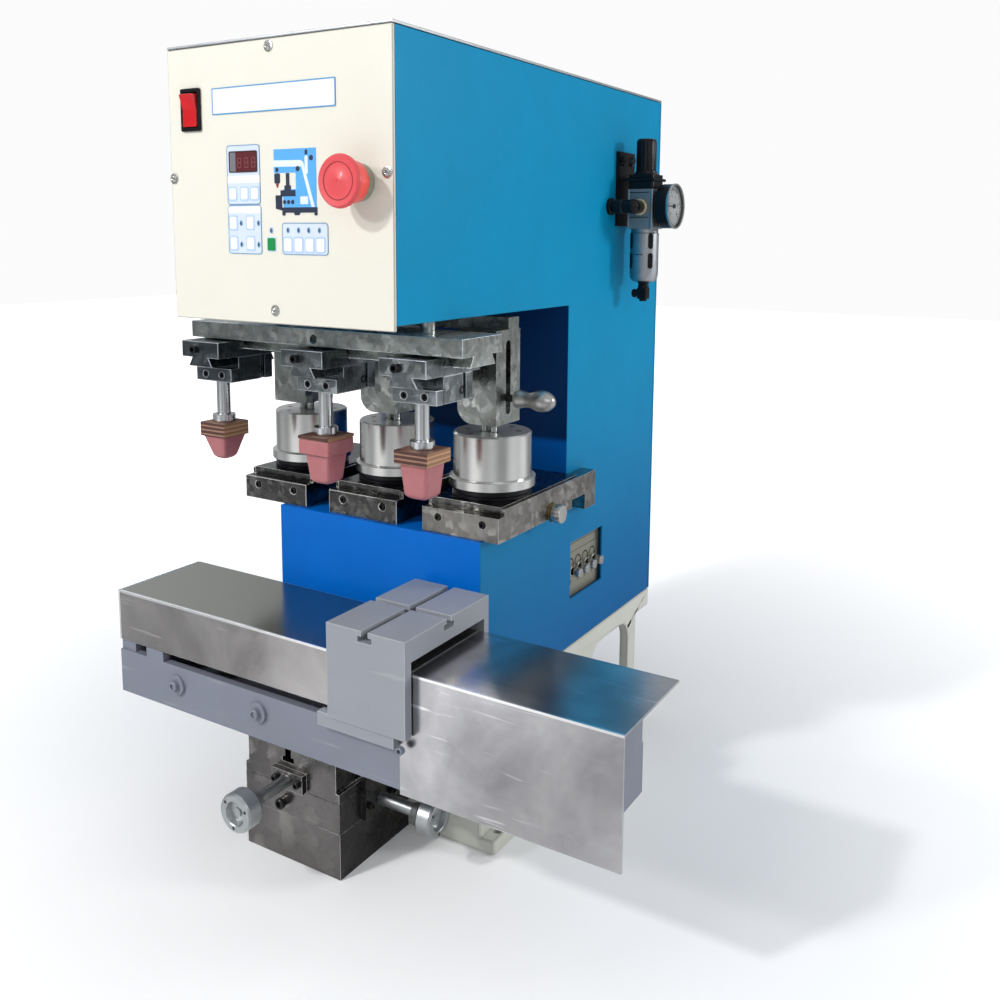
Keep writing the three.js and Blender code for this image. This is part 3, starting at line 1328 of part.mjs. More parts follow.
machine.add(pedestalBlock(), crossSlideX(), crossSlideY());
machine.add(handwheel('handwheel_x', 'x', [gearX + pedestalWidth / 2, screwY, xScrewHeight],
  pedestalWidth / 2 + nutLength / 2 + xTravel, xWheelReach));
machine.add(handwheel('handwheel_y', 'y', [gearX, pedestalFront, yScrewHeight],
  screwY - pedestalFront + nutLength / 2 + yTravelFront, yWheelReach));
machine.add(shuttleRail(), leftCover(), rightCover(), shuttleTable());

// The origin is the middle of the footprint, on the floor.
const bounds = new THREE.Box3().setFromObject(machine);
machine.position.set(-(bounds.min.x + bounds.max.x) / 2, -(bounds.min.y + bounds.max.y) / 2, -bounds.min.z);
machine.updateMatrixWorld(true);

export default machine;
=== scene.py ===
"""Pad printing machine: finishes, small fittings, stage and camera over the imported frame. Metres, Z up."""
import math

import bmesh
import bpy
from bpy.props import FloatProperty, FloatVectorProperty, PointerProperty
from mathutils import Matrix, Vector


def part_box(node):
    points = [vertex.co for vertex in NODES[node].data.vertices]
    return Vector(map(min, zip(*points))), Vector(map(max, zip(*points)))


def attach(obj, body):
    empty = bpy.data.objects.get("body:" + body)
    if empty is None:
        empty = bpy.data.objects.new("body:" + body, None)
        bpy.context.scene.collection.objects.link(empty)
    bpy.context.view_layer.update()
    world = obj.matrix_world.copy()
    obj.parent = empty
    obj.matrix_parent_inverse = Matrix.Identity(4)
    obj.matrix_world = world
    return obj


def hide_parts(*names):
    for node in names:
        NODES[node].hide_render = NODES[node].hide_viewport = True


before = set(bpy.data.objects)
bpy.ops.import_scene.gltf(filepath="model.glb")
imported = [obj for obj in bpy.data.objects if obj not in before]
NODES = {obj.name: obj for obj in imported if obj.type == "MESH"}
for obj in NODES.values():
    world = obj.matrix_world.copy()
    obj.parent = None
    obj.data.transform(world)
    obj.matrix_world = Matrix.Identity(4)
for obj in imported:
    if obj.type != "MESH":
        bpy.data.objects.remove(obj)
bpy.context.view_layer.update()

bl_info = {
    "name": "Pad printing machine",
    "version": (1, 0, 0),
    "blender": (4, 5, 0),
    "location": "View3D > Sidebar > Pad Printer",
    "description": "Dresses the pad printing machine with its finishes, fittings, stage and camera",
    "category": "Object",
}

PANEL_LOW, PANEL_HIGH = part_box("front_panel")
HOME = Vector(((PANEL_LOW.x + PANEL_HIGH.x) / 2, PANEL_LOW.y, 0.0))
STATIONS = (-135, -18, 99)  # mm across, as the next two rows
HOLDERS = (-146, -15.5, 98)
REACHES = (72.5, 76, 73)
BOARD_TOP = 402.7
BOARD_THICK = (14, 3, 12)
SKIN = -0.02  # mm, where the films begin before the panel's face
DIAL_PRINT = (185.2, 185.34)  # mm, from and to which the gauge's marks and figures stand
SMOOTH_ANGLE = 34  # degrees, below which an edge is shaded smooth
WELD = 0.00001  # metres, as the next one: corners of the frame and of a piece that are nearer are one
MERGE = 1e-6
LINK_SIDES = ("outputs", "inputs")


def row(x, y, z):
    """A place given in millimetres from the front panel's foot, in the row frame."""
    return HOME + Vector((x, y, z)) / 1000


def dim(colour, share):
    return [c * share for c in colour]


def rgba(colour):
    return (*colour[:3], 1.0)


# Shader nodes

VECTOR, COLOUR, NUMBER = "NodeSocketVector", "NodeSocketColor", "NodeSocketFloat"


def node(kind, **values):
    """Describes a node by its kind and values. in3 stands for the input with number 3."""
    return kind, values


def maths(operation, **values):
    return node("Math", operation=operation, **values)


def vectors(operation, **values):
    return node("VectorMath", operation=operation, **values)


def blend(**values):
    return node("Mix", data_type="RGBA", **values)


def spread(low=0.0, high=1.0, to_low=0.0, to_high=1.0, **values):
    return node("MapRange", From_Min=low, From_Max=high, To_Min=to_low, To_Max=to_high, **values)


def add_nodes(tree, nodes, wanted):
    """Adds described nodes under their names. A value goes to its socket, or else to the option of that name."""
    for name, (kind, values) in wanted.items():
        made = nodes[name] = tree.nodes.new("ShaderNode" + kind)
        for key, value in values.items():
            label = key.replace("_", " ")
            if key[:2] == "in" and key[2:].isdigit():
                made.inputs[int(key[2:])].default_value = value
            elif label in made.inputs:
                made.inputs[label].default_value = value
            else:
                setattr(made, key, value)


def join(tree, nodes, links):
    """Joins sockets. Each link reads "node.socket > node.socket", with a socket's name or number."""
    for link in links.split(";"):
        ends = []
        for end, side in zip(link.split(">"), LINK_SIDES):
            name, socket = end.strip().split(".")
            ends.append(getattr(nodes[name], side)[int(socket) if socket.isdigit() else socket])
        tree.links.new(*ends)


def build_group(name, inputs, outputs, wanted, links):
    """Makes a node group. An input has either its kind or its default value."""
    group = bpy.data.node_groups.new(name, "ShaderNodeTree")
    for label, value in inputs.items():
        bare = isinstance(value, str)
        kind = value if bare else NUMBER if isinstance(value, float) else VECTOR
        socket = group.interface.new_socket(name=label, in_out="INPUT", socket_type=kind)
        if not bare:
            socket.default_value = value
    for label, kind in outputs.items():
        group.interface.new_socket(name=label, in_out="OUTPUT", socket_type=kind)
    nodes = {"entry": group.nodes.new("NodeGroupInput"), "exit": group.nodes.new("NodeGroupOutput")}
    add_nodes(group, nodes, wanted)
    join(group, nodes, links)
    return group


def drift_group():
    """Soft patches of a second colour over the first."""
    return build_group(
        "Colour drift",
        {"Position": VECTOR, "Colour": COLOUR, "Patch colour": COLOUR, "Scale": 20.0, "Amount": 0.4},
        {"Colour": COLOUR, "Mask": NUMBER},
        dict(noise=node("TexNoise", Detail=5.0, Roughness=0.6, Distortion=0.4), tone=spread(0.32, 0.68),
             amount=maths("MULTIPLY"), mix=blend()),
        "entry.Position > noise.Vector; entry.Scale > noise.Scale; noise.Fac > tone.Value; tone.Result > amount.0;"
        "entry.Amount > amount.1; amount.0 > mix.Factor; entry.Colour > mix.6; entry.Patch colour > mix.7;"
        "mix.2 > exit.Colour; amount.0 > exit.Mask")


def grain_group():
    """Fine streaks along the direction in which the stretch is smallest."""
    return build_group(
        "Grain lines", {"Position": VECTOR, "Stretch": (1.0, 1.0, 1.0), "Scale": 60.0}, {"Height": NUMBER},
        dict(stretch=vectors("MULTIPLY"), noise=node("TexNoise", Detail=6.0, Roughness=0.65)),
        "entry.Position > stretch.0; entry.Stretch > stretch.1; stretch.0 > noise.Vector; entry.Scale > noise.Scale;"
        "noise.Fac > exit.Height")


def scuff_group():
    """Scattered thin scratches in two directions, gathered in patches."""
    wanted = dict(both=maths("MAXIMUM"), patch=node("TexNoise", Scale=9.0, Detail=2.0), gate=spread(0.42, 0.62),
                  inside=maths("MULTIPLY"), amount=maths("MULTIPLY"))
    links = ("step0.Result > both.0; step1.Result > both.1; entry.Position > patch.Vector; patch.Fac > gate.Value;"
             "both.0 > inside.0; gate.Result > inside.1; inside.0 > amount.0; entry.Amount > amount.1;"
             "amount.0 > exit.Mask")
    for i, (angle, squeeze) in enumerate(((0.5, 26.0), (-0.9, 34.0))):
        wanted |= {f"turn{i}": node("Mapping", Rotation=(angle, angle * 0.7, angle),
                                    Scale=(1.0, squeeze, squeeze * 0.6)),
                   f"noise{i}": node("TexNoise", Detail=3.0, Roughness=0.5, Distortion=0.15),
                   f"step{i}": spread(0.66, 0.74)}
        links += (f"; entry.Position > turn{i}.Vector; turn{i}.Vector > noise{i}.Vector;"
                  f"entry.Scale > noise{i}.Scale; noise{i}.Fac > step{i}.Value")
    return build_group("Scuffs", {"Position": VECTOR, "Scale": 14.0, "Amount": 0.5}, {"Mask": NUMBER}, wanted, links)


def turned_group():
    """Fine rings about an axis, as a lathe tool leaves them."""
    return build_group(
        "Turned rings",
        {"Position": VECTOR, "Centre": (0.0, 0.0, 0.0), "Across": (1.0, 1.0, 0.0), "Along": (0.0, 0.0, 1.0),
         "Scale": 900.0},
        {"Height": NUMBER},
        dict(shift=vectors("SUBTRACT"), flat=vectors("MULTIPLY"), far=vectors("LENGTH"), along=vectors("DOT_PRODUCT"),
             total=maths("ADD"), noise=node("TexNoise", noise_dimensions="1D", Detail=4.0, Roughness=0.7)),
        "entry.Position > shift.0; entry.Centre > shift.1; shift.0 > flat.0; entry.Across > flat.1; flat.0 > far.0;"
        "shift.0 > along.0; entry.Along > along.1; far.Value > total.0; along.Value > total.1; total.0 > noise.W;"
        "entry.Scale > noise.Scale; noise.Fac > exit.Height")


def flake_group():
    """Irregular scraped flakes, each with its own brightness and its own slight tilt."""
    return build_group(
        "Scraped flakes", {"Position": VECTOR, "Scale": 90.0, "Amount": 0.7, "Tilt": 0.3},
        {"Mask": NUMBER, "Normal": VECTOR},
        dict(bend=node("TexNoise", Scale=60.0, Detail=3.0), push=vectors("MULTIPLY_ADD", in1=(0.014, 0.014, 0.014)),
             cells=node("TexVoronoi", feature="SMOOTH_F1", Smoothness=0.35), parts=node("SeparateXYZ"),
             step=spread(0.35, 1.0), patch=node("TexNoise", Scale=26.0, Detail=2.0), gate=spread(0.38, 0.68),
             inside=maths("MULTIPLY"), amount=maths("MULTIPLY"), centred=vectors("SUBTRACT", in1=(0.5, 0.5, 0.5)),
             lean=vectors("SCALE"), surface=node("NewGeometry"), turned=vectors("ADD"), unit=vectors("NORMALIZE")),
        "entry.Position > bend.Vector; bend.Color > push.0; entry.Position > push.2; push.0 > cells.Vector;"
        "entry.Scale > cells.Scale; cells.Color > parts.0; parts.X > step.Value; entry.Position > patch.Vector;"
        "patch.Fac > gate.Value; step.Result > inside.0; gate.Result > inside.1; inside.0 > amount.0;"
        "entry.Amount > amount.1; amount.0 > exit.Mask; cells.Color > centred.0; centred.0 > lean.0;"
        "entry.Tilt > lean.Scale; lean.0 > turned.0; surface.Normal > turned.1; turned.0 > unit.0;"
        "unit.0 > exit.Normal")


def zone_group():
    """One inside a box given by its centre and half size, zero outside it."""
    return build_group(
        "Zone", {"Position": VECTOR, "Centre": (0.0, 0.0, 0.0), "Half": (1.0, 1.0, 1.0)}, {"Mask": NUMBER},
        dict(shift=vectors("SUBTRACT"), size=vectors("ABSOLUTE"), left=vectors("SUBTRACT"), parts=node("SeparateXYZ"),
             least=maths("MINIMUM"), lowest=maths("MINIMUM"), test=maths("GREATER_THAN", in1=0.0)),
        "entry.Position > shift.0; entry.Centre > shift.1; shift.0 > size.0; entry.Half > left.0; size.0 > left.1;"
        "left.0 > parts.0; parts.X > least.0; parts.Y > least.1; least.0 > lowest.0; parts.Z > lowest.1;"
        "lowest.0 > test.0; test.0 > exit.Mask")


def strips_group():
    """Bright and dark strips around the vertical axis, for lifelike reflections in bare metal."""
    return build_group(
        "Studio strips", {"Direction": VECTOR}, {"Value": NUMBER},
        dict(parts=node("SeparateXYZ"), angle=maths("ARCTAN2"), wide=maths("MULTIPLY_ADD", in1=3.0, in2=0.6),
             wide_wave=maths("SINE"), narrow=maths("MULTIPLY_ADD", in1=7.0, in2=2.1), narrow_wave=maths("SINE"),
             both=maths("ADD"), tone=spread(-1.2, 1.6, 0.4, 1.1)),
        "entry.Direction > parts.0; parts.Y > angle.0; parts.X > angle.1; angle.0 > wide.0; wide.0 > wide_wave.0;"
        "angle.0 > narrow.0; narrow.0 > narrow_wave.0; wide_wave.0 > both.0; narrow_wave.0 > both.1;"
        "both.0 > tone.Value; tone.Result > exit.Value")


GROUP_MAKERS = {"drift": drift_group, "grain": grain_group, "scuffs": scuff_group, "turned": turned_group,
                "flakes": flake_group, "zone": zone_group, "strips": strips_group}
GROUPS = {}


def shader_group(key):
    if key not in GROUPS:
        GROUPS[key] = GROUP_MAKERS[key]()
    return GROUPS[key]


# Materials

class Finish:
    """A material in the making, with its nodes by name. top names the socket that feeds the base colour."""

    def __init__(self, name, roughness, metallic, **sockets):
        self.material = bpy.data.materials.new(name)
        self.material.use_nodes = True
        self.tree = self.material.node_tree
        self.tree.nodes.clear()
        self.nodes = {}
        self.add(output=node("OutputMaterial"), place=node("TexCoord"),
                 shader=node("BsdfPrincipled", Roughness=roughness, Metallic=metallic, **sockets))
        self.join("shader.0 > output.Surface")

    def add(self, **wanted):
        add_nodes(self.tree, self.nodes, wanted)

    def join(self, links):
        join(self.tree, self.nodes, links)

    def group(self, key, name=None, **values):
        """Places a shared group over the object's own coordinates."""
        name = name or key
        self.add(**{name: node("Group", node_tree=shader_group(key), **values)})
        self.join(f"place.Object > {name}.Position")

    def show(self, source):
        """Feeds the base colour from a socket."""
        self.top = source
        self.join(f"{source} > shader.Base Color")

    def drift(self, colour, patch, scale, amount):
        """Starts the base colour with soft patches."""
        self.group("drift", Colour=rgba(colour), Patch_colour=rgba(patch), Scale=scale, Amount=amount)
        self.show("drift.Colour")

    def cover(self, mask, colour):
        """Lays a colour over the base colour where the mask is one."""
        name = f"cover{len(self.nodes)}"
        self.add(**{name: blend(in7=rgba(colour))})
        self.join(f"{mask} > {name}.Factor; {self.top} > {name}.6")
        self.show(f"{name}.2")

    def rough(self, source, low, high):
        self.add(rough=spread(to_low=low, to_high=high))
        self.join(f"{source} > rough.Value; rough.Result > shader.Roughness")

    def bump(self, source, strength, distance=0.0002):
        self.add(bump=node("Bump", Strength=strength, Distance=distance))
        self.join(f"{source} > bump.Height; bump.Normal > shader.Normal")


def paint(name, colour, patch, roughness=0.38, peel=0.12, scuffs=0.25, coat=0.25, metallic=0.0):
    """Sprayed paint: orange peel, faint patches and a few scuffs."""
    made = Finish(name, roughness, metallic, Coat_Weight=coat, Coat_Roughness=0.22)
    made.drift(colour, patch, 11.0, 0.55)
    made.group("scuffs", Scale=9.0, Amount=scuffs)
    made.cover("scuffs.Mask", [min(1.0, c * 0.6 + 0.32) for c in colour])
    made.rough("drift.Mask", roughness, roughness + 0.14)
    made.group("grain", Scale=520.0)
    made.bump("grain.Height", peel)
    return made


def cabinet_paint(name, colour, deep, dark):
    """Sprayed blue paint with light painted in: a lit, deeper blue on the column's front and the deck, painted shade
    towards the bottom and on the throat's wall.
    """
    made = paint(name, colour, dim(colour, 0.86), scuffs=0.05, roughness=0.36, coat=0.0)
    for key, low, high in (("front", row(-124.4, -10, -5), row(124.4, 295.6, 516.4)),
                           ("wall", row(-124.4, 290, 308), row(124.4, 300, 516.4))):
        made.group("zone", key, Centre=(low + high) / 2, Half=(high - low) / 2)
    # Painted light: the column's front and the deck get a deeper blue, the same paint as it looks lit from the front.
    made.group("drift", "deep", Colour=rgba(deep), Patch_colour=rgba(dim(deep, 0.8)), Scale=9.0, Amount=0.6)
    # Painted shade: towards the bottom the blue darkens to this colour, and the throat's back wall turns dark above 369
    # to 377 mm.
    foot = [c * share for c, share in zip(colour, (1.0, 0.36, 0.6))]
    made.add(parts=node("SeparateXYZ"), fall=spread(0.06, 0.5, interpolation_type="SMOOTHSTEP"),
             upper=spread(0.369, 0.377, interpolation_type="SMOOTHSTEP"), gloom=maths("MULTIPLY"),
             down=blend(in6=rgba(foot)), mix=blend())
    made.join("place.Object > parts.0; parts.Z > upper.Value; wall.Mask > gloom.0; upper.Result > gloom.1;"
              f"parts.Z > fall.Value; fall.Result > down.Factor; {made.top} > down.7; front.Mask > mix.Factor;"
              "down.2 > mix.6; deep.Colour > mix.7")
    made.show("mix.2")
    # Painted shade on the throat's back wall.
    made.cover("gloom.0", dark)
    made.nodes["shader"].inputs["Specular IOR Level"].default_value = 0.12
    return made


def painted_light_faces(made, axis, colour, towards=True, share=1.0):
    """Paints light or shade in another colour on the faces that look along an axis, or on all the others."""
    made.add(facing=node("SeparateXYZ"), test=maths("GREATER_THAN" if towards else "LESS_THAN", in1=0.7),
             part=maths("MULTIPLY", in1=share))
    made.join(f"place.Normal > facing.0; facing.{axis} > test.0; test.0 > part.0")
    made.cover("part.0", colour)
    return made


def satin_tops(made, metallic=0.4):
    """Makes the faces that look up satin, so that they stay pale under the dark head."""
    made.add(up=node("SeparateXYZ"), satin=spread(0.6, 0.8, 1.0, metallic))
    made.join("place.Normal > up.0; up.Z > satin.Value; satin.Result > shader.Metallic")
    return made


def bend_highlight(made, node, width=0.0022):
    """Paints a highlight along the bend of a cover's top front edge: a bright line for the light that the bend catches.
    """
    low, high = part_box(node)
    centre = Vector(((low[0] + high[0]) / 2, low[1], high[2]))
    made.group("zone", "band", Centre=centre, Half=Vector(((high[0] - low[0]) / 2, width, width)))
    made.cover("band.Mask", (0.97, 0.97, 0.97))
    return made


def floor_paint(name, colour):
    """Pale floor. Bare metal sees it in painted darker and brighter strips, a painted reflection, and the camera sees
    it glow more and more away from the machine: a painted brightening that fades it into the white backdrop.
    """
    made = paint(name, colour, dim(colour, 0.985), roughness=0.7, peel=0.0, scuffs=0.0, coat=0.0)
    made.add(strips=node("Group", node_tree=shader_group("strips")), shade=blend(in6=(0.03, 0.03, 0.035, 1.0)),
             path=node("LightPath"), mix=blend(), reach=vectors("LENGTH"), lift=spread(0.3, 2.2, 0.05, 0.9),
             seen=maths("MULTIPLY"))
    made.join(f"place.Object > strips.Direction; strips.Value > shade.Factor; {made.top} > shade.7;"
              f"path.Is Glossy Ray > mix.Factor; {made.top} > mix.6; shade.2 > mix.7; place.Object > reach.0;"
              "reach.Value > lift.Value; lift.Result > seen.0; path.Is Camera Ray > seen.1;"
              "seen.0 > shader.Emission Color")
    made.show("mix.2")
    made.nodes["shader"].inputs["Emission Strength"].default_value = 1.0
    return made


def metal(name, colour, patch, roughness=0.3, stretch=(1.0, 40.0, 40.0), scale=30.0, scuffs=0.5, stain=0.6,
          relief=0.1, patch_scale=16.0, streak=0.8):
    """Ground or brushed metal: streaks, stains and thin scratches."""
    made = Finish(name, roughness, 1.0)
    made.drift(colour, patch, patch_scale, stain)
    made.group("scuffs", Scale=12.0, Amount=scuffs)
    made.cover("scuffs.Mask", [min(1.0, c * 1.25 + 0.08) for c in colour])
    made.group("grain", Stretch=stretch, Scale=scale)
    made.add(tone=spread(to_low=0.72, to_high=1.22), streaks=blend(blend_type="MULTIPLY", Factor=streak))
    made.join(f"grain.Height > tone.Value; {made.top} > streaks.6; tone.Result > streaks.7")
    made.show("streaks.2")
    made.rough("grain.Height", roughness - 0.1 * streak, roughness + 0.2 * streak)
    made.bump("grain.Height", relief, 0.0001)
    return made


def even_metal(name, colour, patch, scale, **values):
    """Cast or plated metal with an even grain."""
    return metal(name, colour, patch, stretch=(1.0, 1.0, 1.0), scale=scale, **values)


def cover_sheet(name, colour, patch, **values):
    """Rolled sheet of the shuttle's covers, clouded and scratched."""
    return metal(name, colour, patch, relief=0.03, stretch=(1.0, 30.0, 30.0), scale=24.0, stain=0.95, streak=0.2,
                 **values)


def scraped(name, colour, light, roughness, amount, scale=150.0):
    """Machined steel with scraped flakes, stains and scratches."""
    made = metal(name, colour, dim(colour, 0.62), roughness=roughness, stretch=(2.0, 7.0, 3.0), scuffs=0.6, stain=0.7)
    made.group("flakes", Scale=scale, Amount=amount, Tilt=0.08)
    made.join("flakes.Normal > bump.Normal")
    made.cover("flakes.Mask", light)
    return made


def lathe_metal(name, colour, centre, axis, roughness, relief, scale=2400.0):
    """Turned steel with tool rings about one axis."""
    along = [float(axis == other) for other in "xyz"]
    made = Finish(name, roughness, 1.0)
    made.group("turned", Centre=centre, Across=[1.0 - v for v in along], Along=along, Scale=scale)
    made.drift(colour, dim(colour, 0.86), 22.0, 0.5)
    made.rough("turned.Height", roughness - 0.02, roughness + 0.05)
    made.bump("turned.Height", relief, 0.00003)
    return made


def plastic(name, colour, roughness=0.4, grain=0.12, coat=0.0, lighter=1.35, shine=0.5):
    """Moulded plastic with a fine even texture."""
    made = Finish(name, roughness, 0.0, Coat_Weight=coat, Coat_Roughness=0.1, Specular_IOR_Level=shine)
    made.drift(colour, [min(1.0, c * lighter + 0.002) for c in colour], 60.0, 0.35)
    made.group("grain", Scale=900.0)
    made.rough("drift.Mask", roughness, roughness + 0.12)
    made.bump("grain.Height", grain, 0.00008)
    return made


def film(name, colour, roughness=0.3):
    """Printed overlay film with a faint fine texture."""
    return plastic(name, colour, roughness=roughness, grain=0.05, lighter=1.08)


def silicone(name, colour):
    """Soft pink silicone with faint handling marks."""
    made = Finish(name, 0.42, 0.0, Subsurface_Weight=0.25, Subsurface_Scale=0.004, Subsurface_Radius=(1.0, 0.45, 0.35))
    made.drift(colour, (colour[0] * 0.86, colour[1] * 0.72, colour[2] * 0.72), 55.0, 0.6)
    made.group("grain", Scale=300.0)
    made.rough("drift.Mask", 0.36, 0.55)
    made.bump("grain.Height", 0.1, 0.0001)
    return made


def plywood(name, layer=0.0042):
    """Plies seen edge on: dark and pale layers with short grain, paler on the faces that look along +X."""
    made = Finish(name, 0.62, 0.0)
    made.group("grain", "wobble", Stretch=(1.0, 1.0, 6.0), Scale=40.0)
    made.group("grain", "fibre", Stretch=(1.0, 1.0, 30.0), Scale=160.0)
    made.add(parts=node("SeparateXYZ"), bend=maths("MULTIPLY_ADD", in1=0.0016),
             layers=maths("MULTIPLY", in1=2 * math.pi / layer), wave=maths("SINE"),
             half=maths("MULTIPLY_ADD", in1=0.5, in2=0.5), ramp=node("ValToRGB"),
             mix=blend(blend_type="MULTIPLY", Factor=0.55), facing=node("SeparateXYZ"),
             side=maths("GREATER_THAN", in1=0.7), pale=blend(blend_type="ADD", in7=(0.22, 0.13, 0.06, 1.0)))
    stops = ((0.55, (0.085, 0.028, 0.020)), (0.8, (0.38, 0.20, 0.13)))
    for element, (at, colour) in zip(made.nodes["ramp"].color_ramp.elements, stops):
        element.color = rgba(colour)
        element.position = at
    made.join("place.Object > parts.0; wobble.Height > bend.0; parts.Z > bend.2; bend.0 > layers.0;"
              "layers.0 > wave.0; wave.0 > half.0; half.0 > ramp.Fac; ramp.Color > mix.6; fibre.Height > mix.7;"
              "place.Normal > facing.0; facing.X > side.0; side.0 > pale.Factor; mix.2 > pale.6")
    made.show("pale.2")
    made.bump("fibre.Height", 0.35)
    return made


def glass(name, tint):
    made = Finish(name, 0.05, 0.0, Transmission_Weight=1.0, IOR=1.45)
    made.drift(tint, dim(tint, 0.94), 80.0, 0.5)
    return made


def glow(name, colour, strength):
    made = Finish(name, 0.35, 0.0, Emission_Strength=strength)
    made.drift(colour, dim(colour, 0.8), 300.0, 0.4)
    made.join("drift.Colour > shader.Emission Color")
    return made


FILMS = {
    "plate_white": ("Plate face", (0.78, 0.78, 0.87)), "plate_line": ("Plate border", (0.10, 0.30, 0.54)),
    "film_pale": ("Pale key film", (0.60, 0.68, 0.84)), "film_line": ("Film outline", (0.18, 0.31, 0.48)),
    "label": ("Blank label strip", (0.83, 0.82, 0.90)), "key_white": ("White key", (0.90, 0.91, 0.95)),
    "key_shade": ("Key surround", (0.42, 0.56, 0.86)), "lamp_rim": ("Lamp rim", (0.22, 0.36, 0.56), 0.2),
    "lamp_dark": ("Unlit lamp", (0.05, 0.09, 0.15), 0.2), "green_key": ("Green key", (0.006, 0.24, 0.055)),
    "display_bezel": ("Display surround", (0.05, 0.03, 0.035), 0.2),
    "display_side": ("Display side", (0.17, 0.17, 0.19), 0.2),
    "display": ("Display window", (0.105, 0.022, 0.026), 0.14), "sticker": ("Blue picture film", (0.09, 0.37, 0.82)),
    "sticker_dark": ("Picture ink", (0.02, 0.03, 0.06)), "sticker_pale": ("Picture pale", (0.70, 0.80, 0.92)),
    "dial": ("Dial face", (0.86, 0.87, 0.86), 0.4),
}
METALS = {
    "lid": ("Lid sheet", (0.52, 0.54, 0.56), (0.36, 0.38, 0.40), 0.38, dict(scuffs=0.3)),
    # The edge finishes are brighter than the faces they round off: painted highlights along the rounded edges and the
    # covers' bends.
    "stainless_edge": ("Cover bend", (0.95, 0.95, 0.95), (0.85, 0.85, 0.85), 0.34, {}),
    "ground_edge": ("Ground steel edge", (0.84, 0.86, 0.87), (0.50, 0.51, 0.52), 0.34, {}),
    "block_edge": ("Block edge", (0.62, 0.65, 0.68), (0.34, 0.36, 0.38), 0.34, {}),
    "dark_edge": ("Dark steel edge", (0.72, 0.71, 0.69), (0.36, 0.35, 0.34), 0.34, {}),
    "screw": ("Plated screw", (0.60, 0.60, 0.58), (0.42, 0.42, 0.40), 0.24, dict(scuffs=0.4)),
    "brass": ("Brass washer", (0.50, 0.40, 0.20), (0.40, 0.30, 0.14), 0.3, {}),
}
SCRAPED = {
    "block": ("Blued block steel", (0.115, 0.135, 0.15), (0.42, 0.45, 0.45), 0.26, 0.5),
    "block_pale": ("Scraped block steel", (0.23, 0.255, 0.265), (0.76, 0.79, 0.78), 0.22, 0.55),
    "bracket": ("Bracket steel", (0.38, 0.405, 0.38), (0.80, 0.82, 0.79), 0.24, 0.5),
    "dark": ("Dark tray steel", (0.11, 0.11, 0.105), (0.46, 0.455, 0.44), 0.22, 0.5),
    "tray_warm": ("Warm tray steel", (0.25, 0.237, 0.22), (0.68, 0.66, 0.63), 0.2, 0.5),
}
FINISHES = {}


def finish(key):
    if key not in FINISHES:
        FINISHES[key] = make_finish(key).material
    return FINISHES[key]


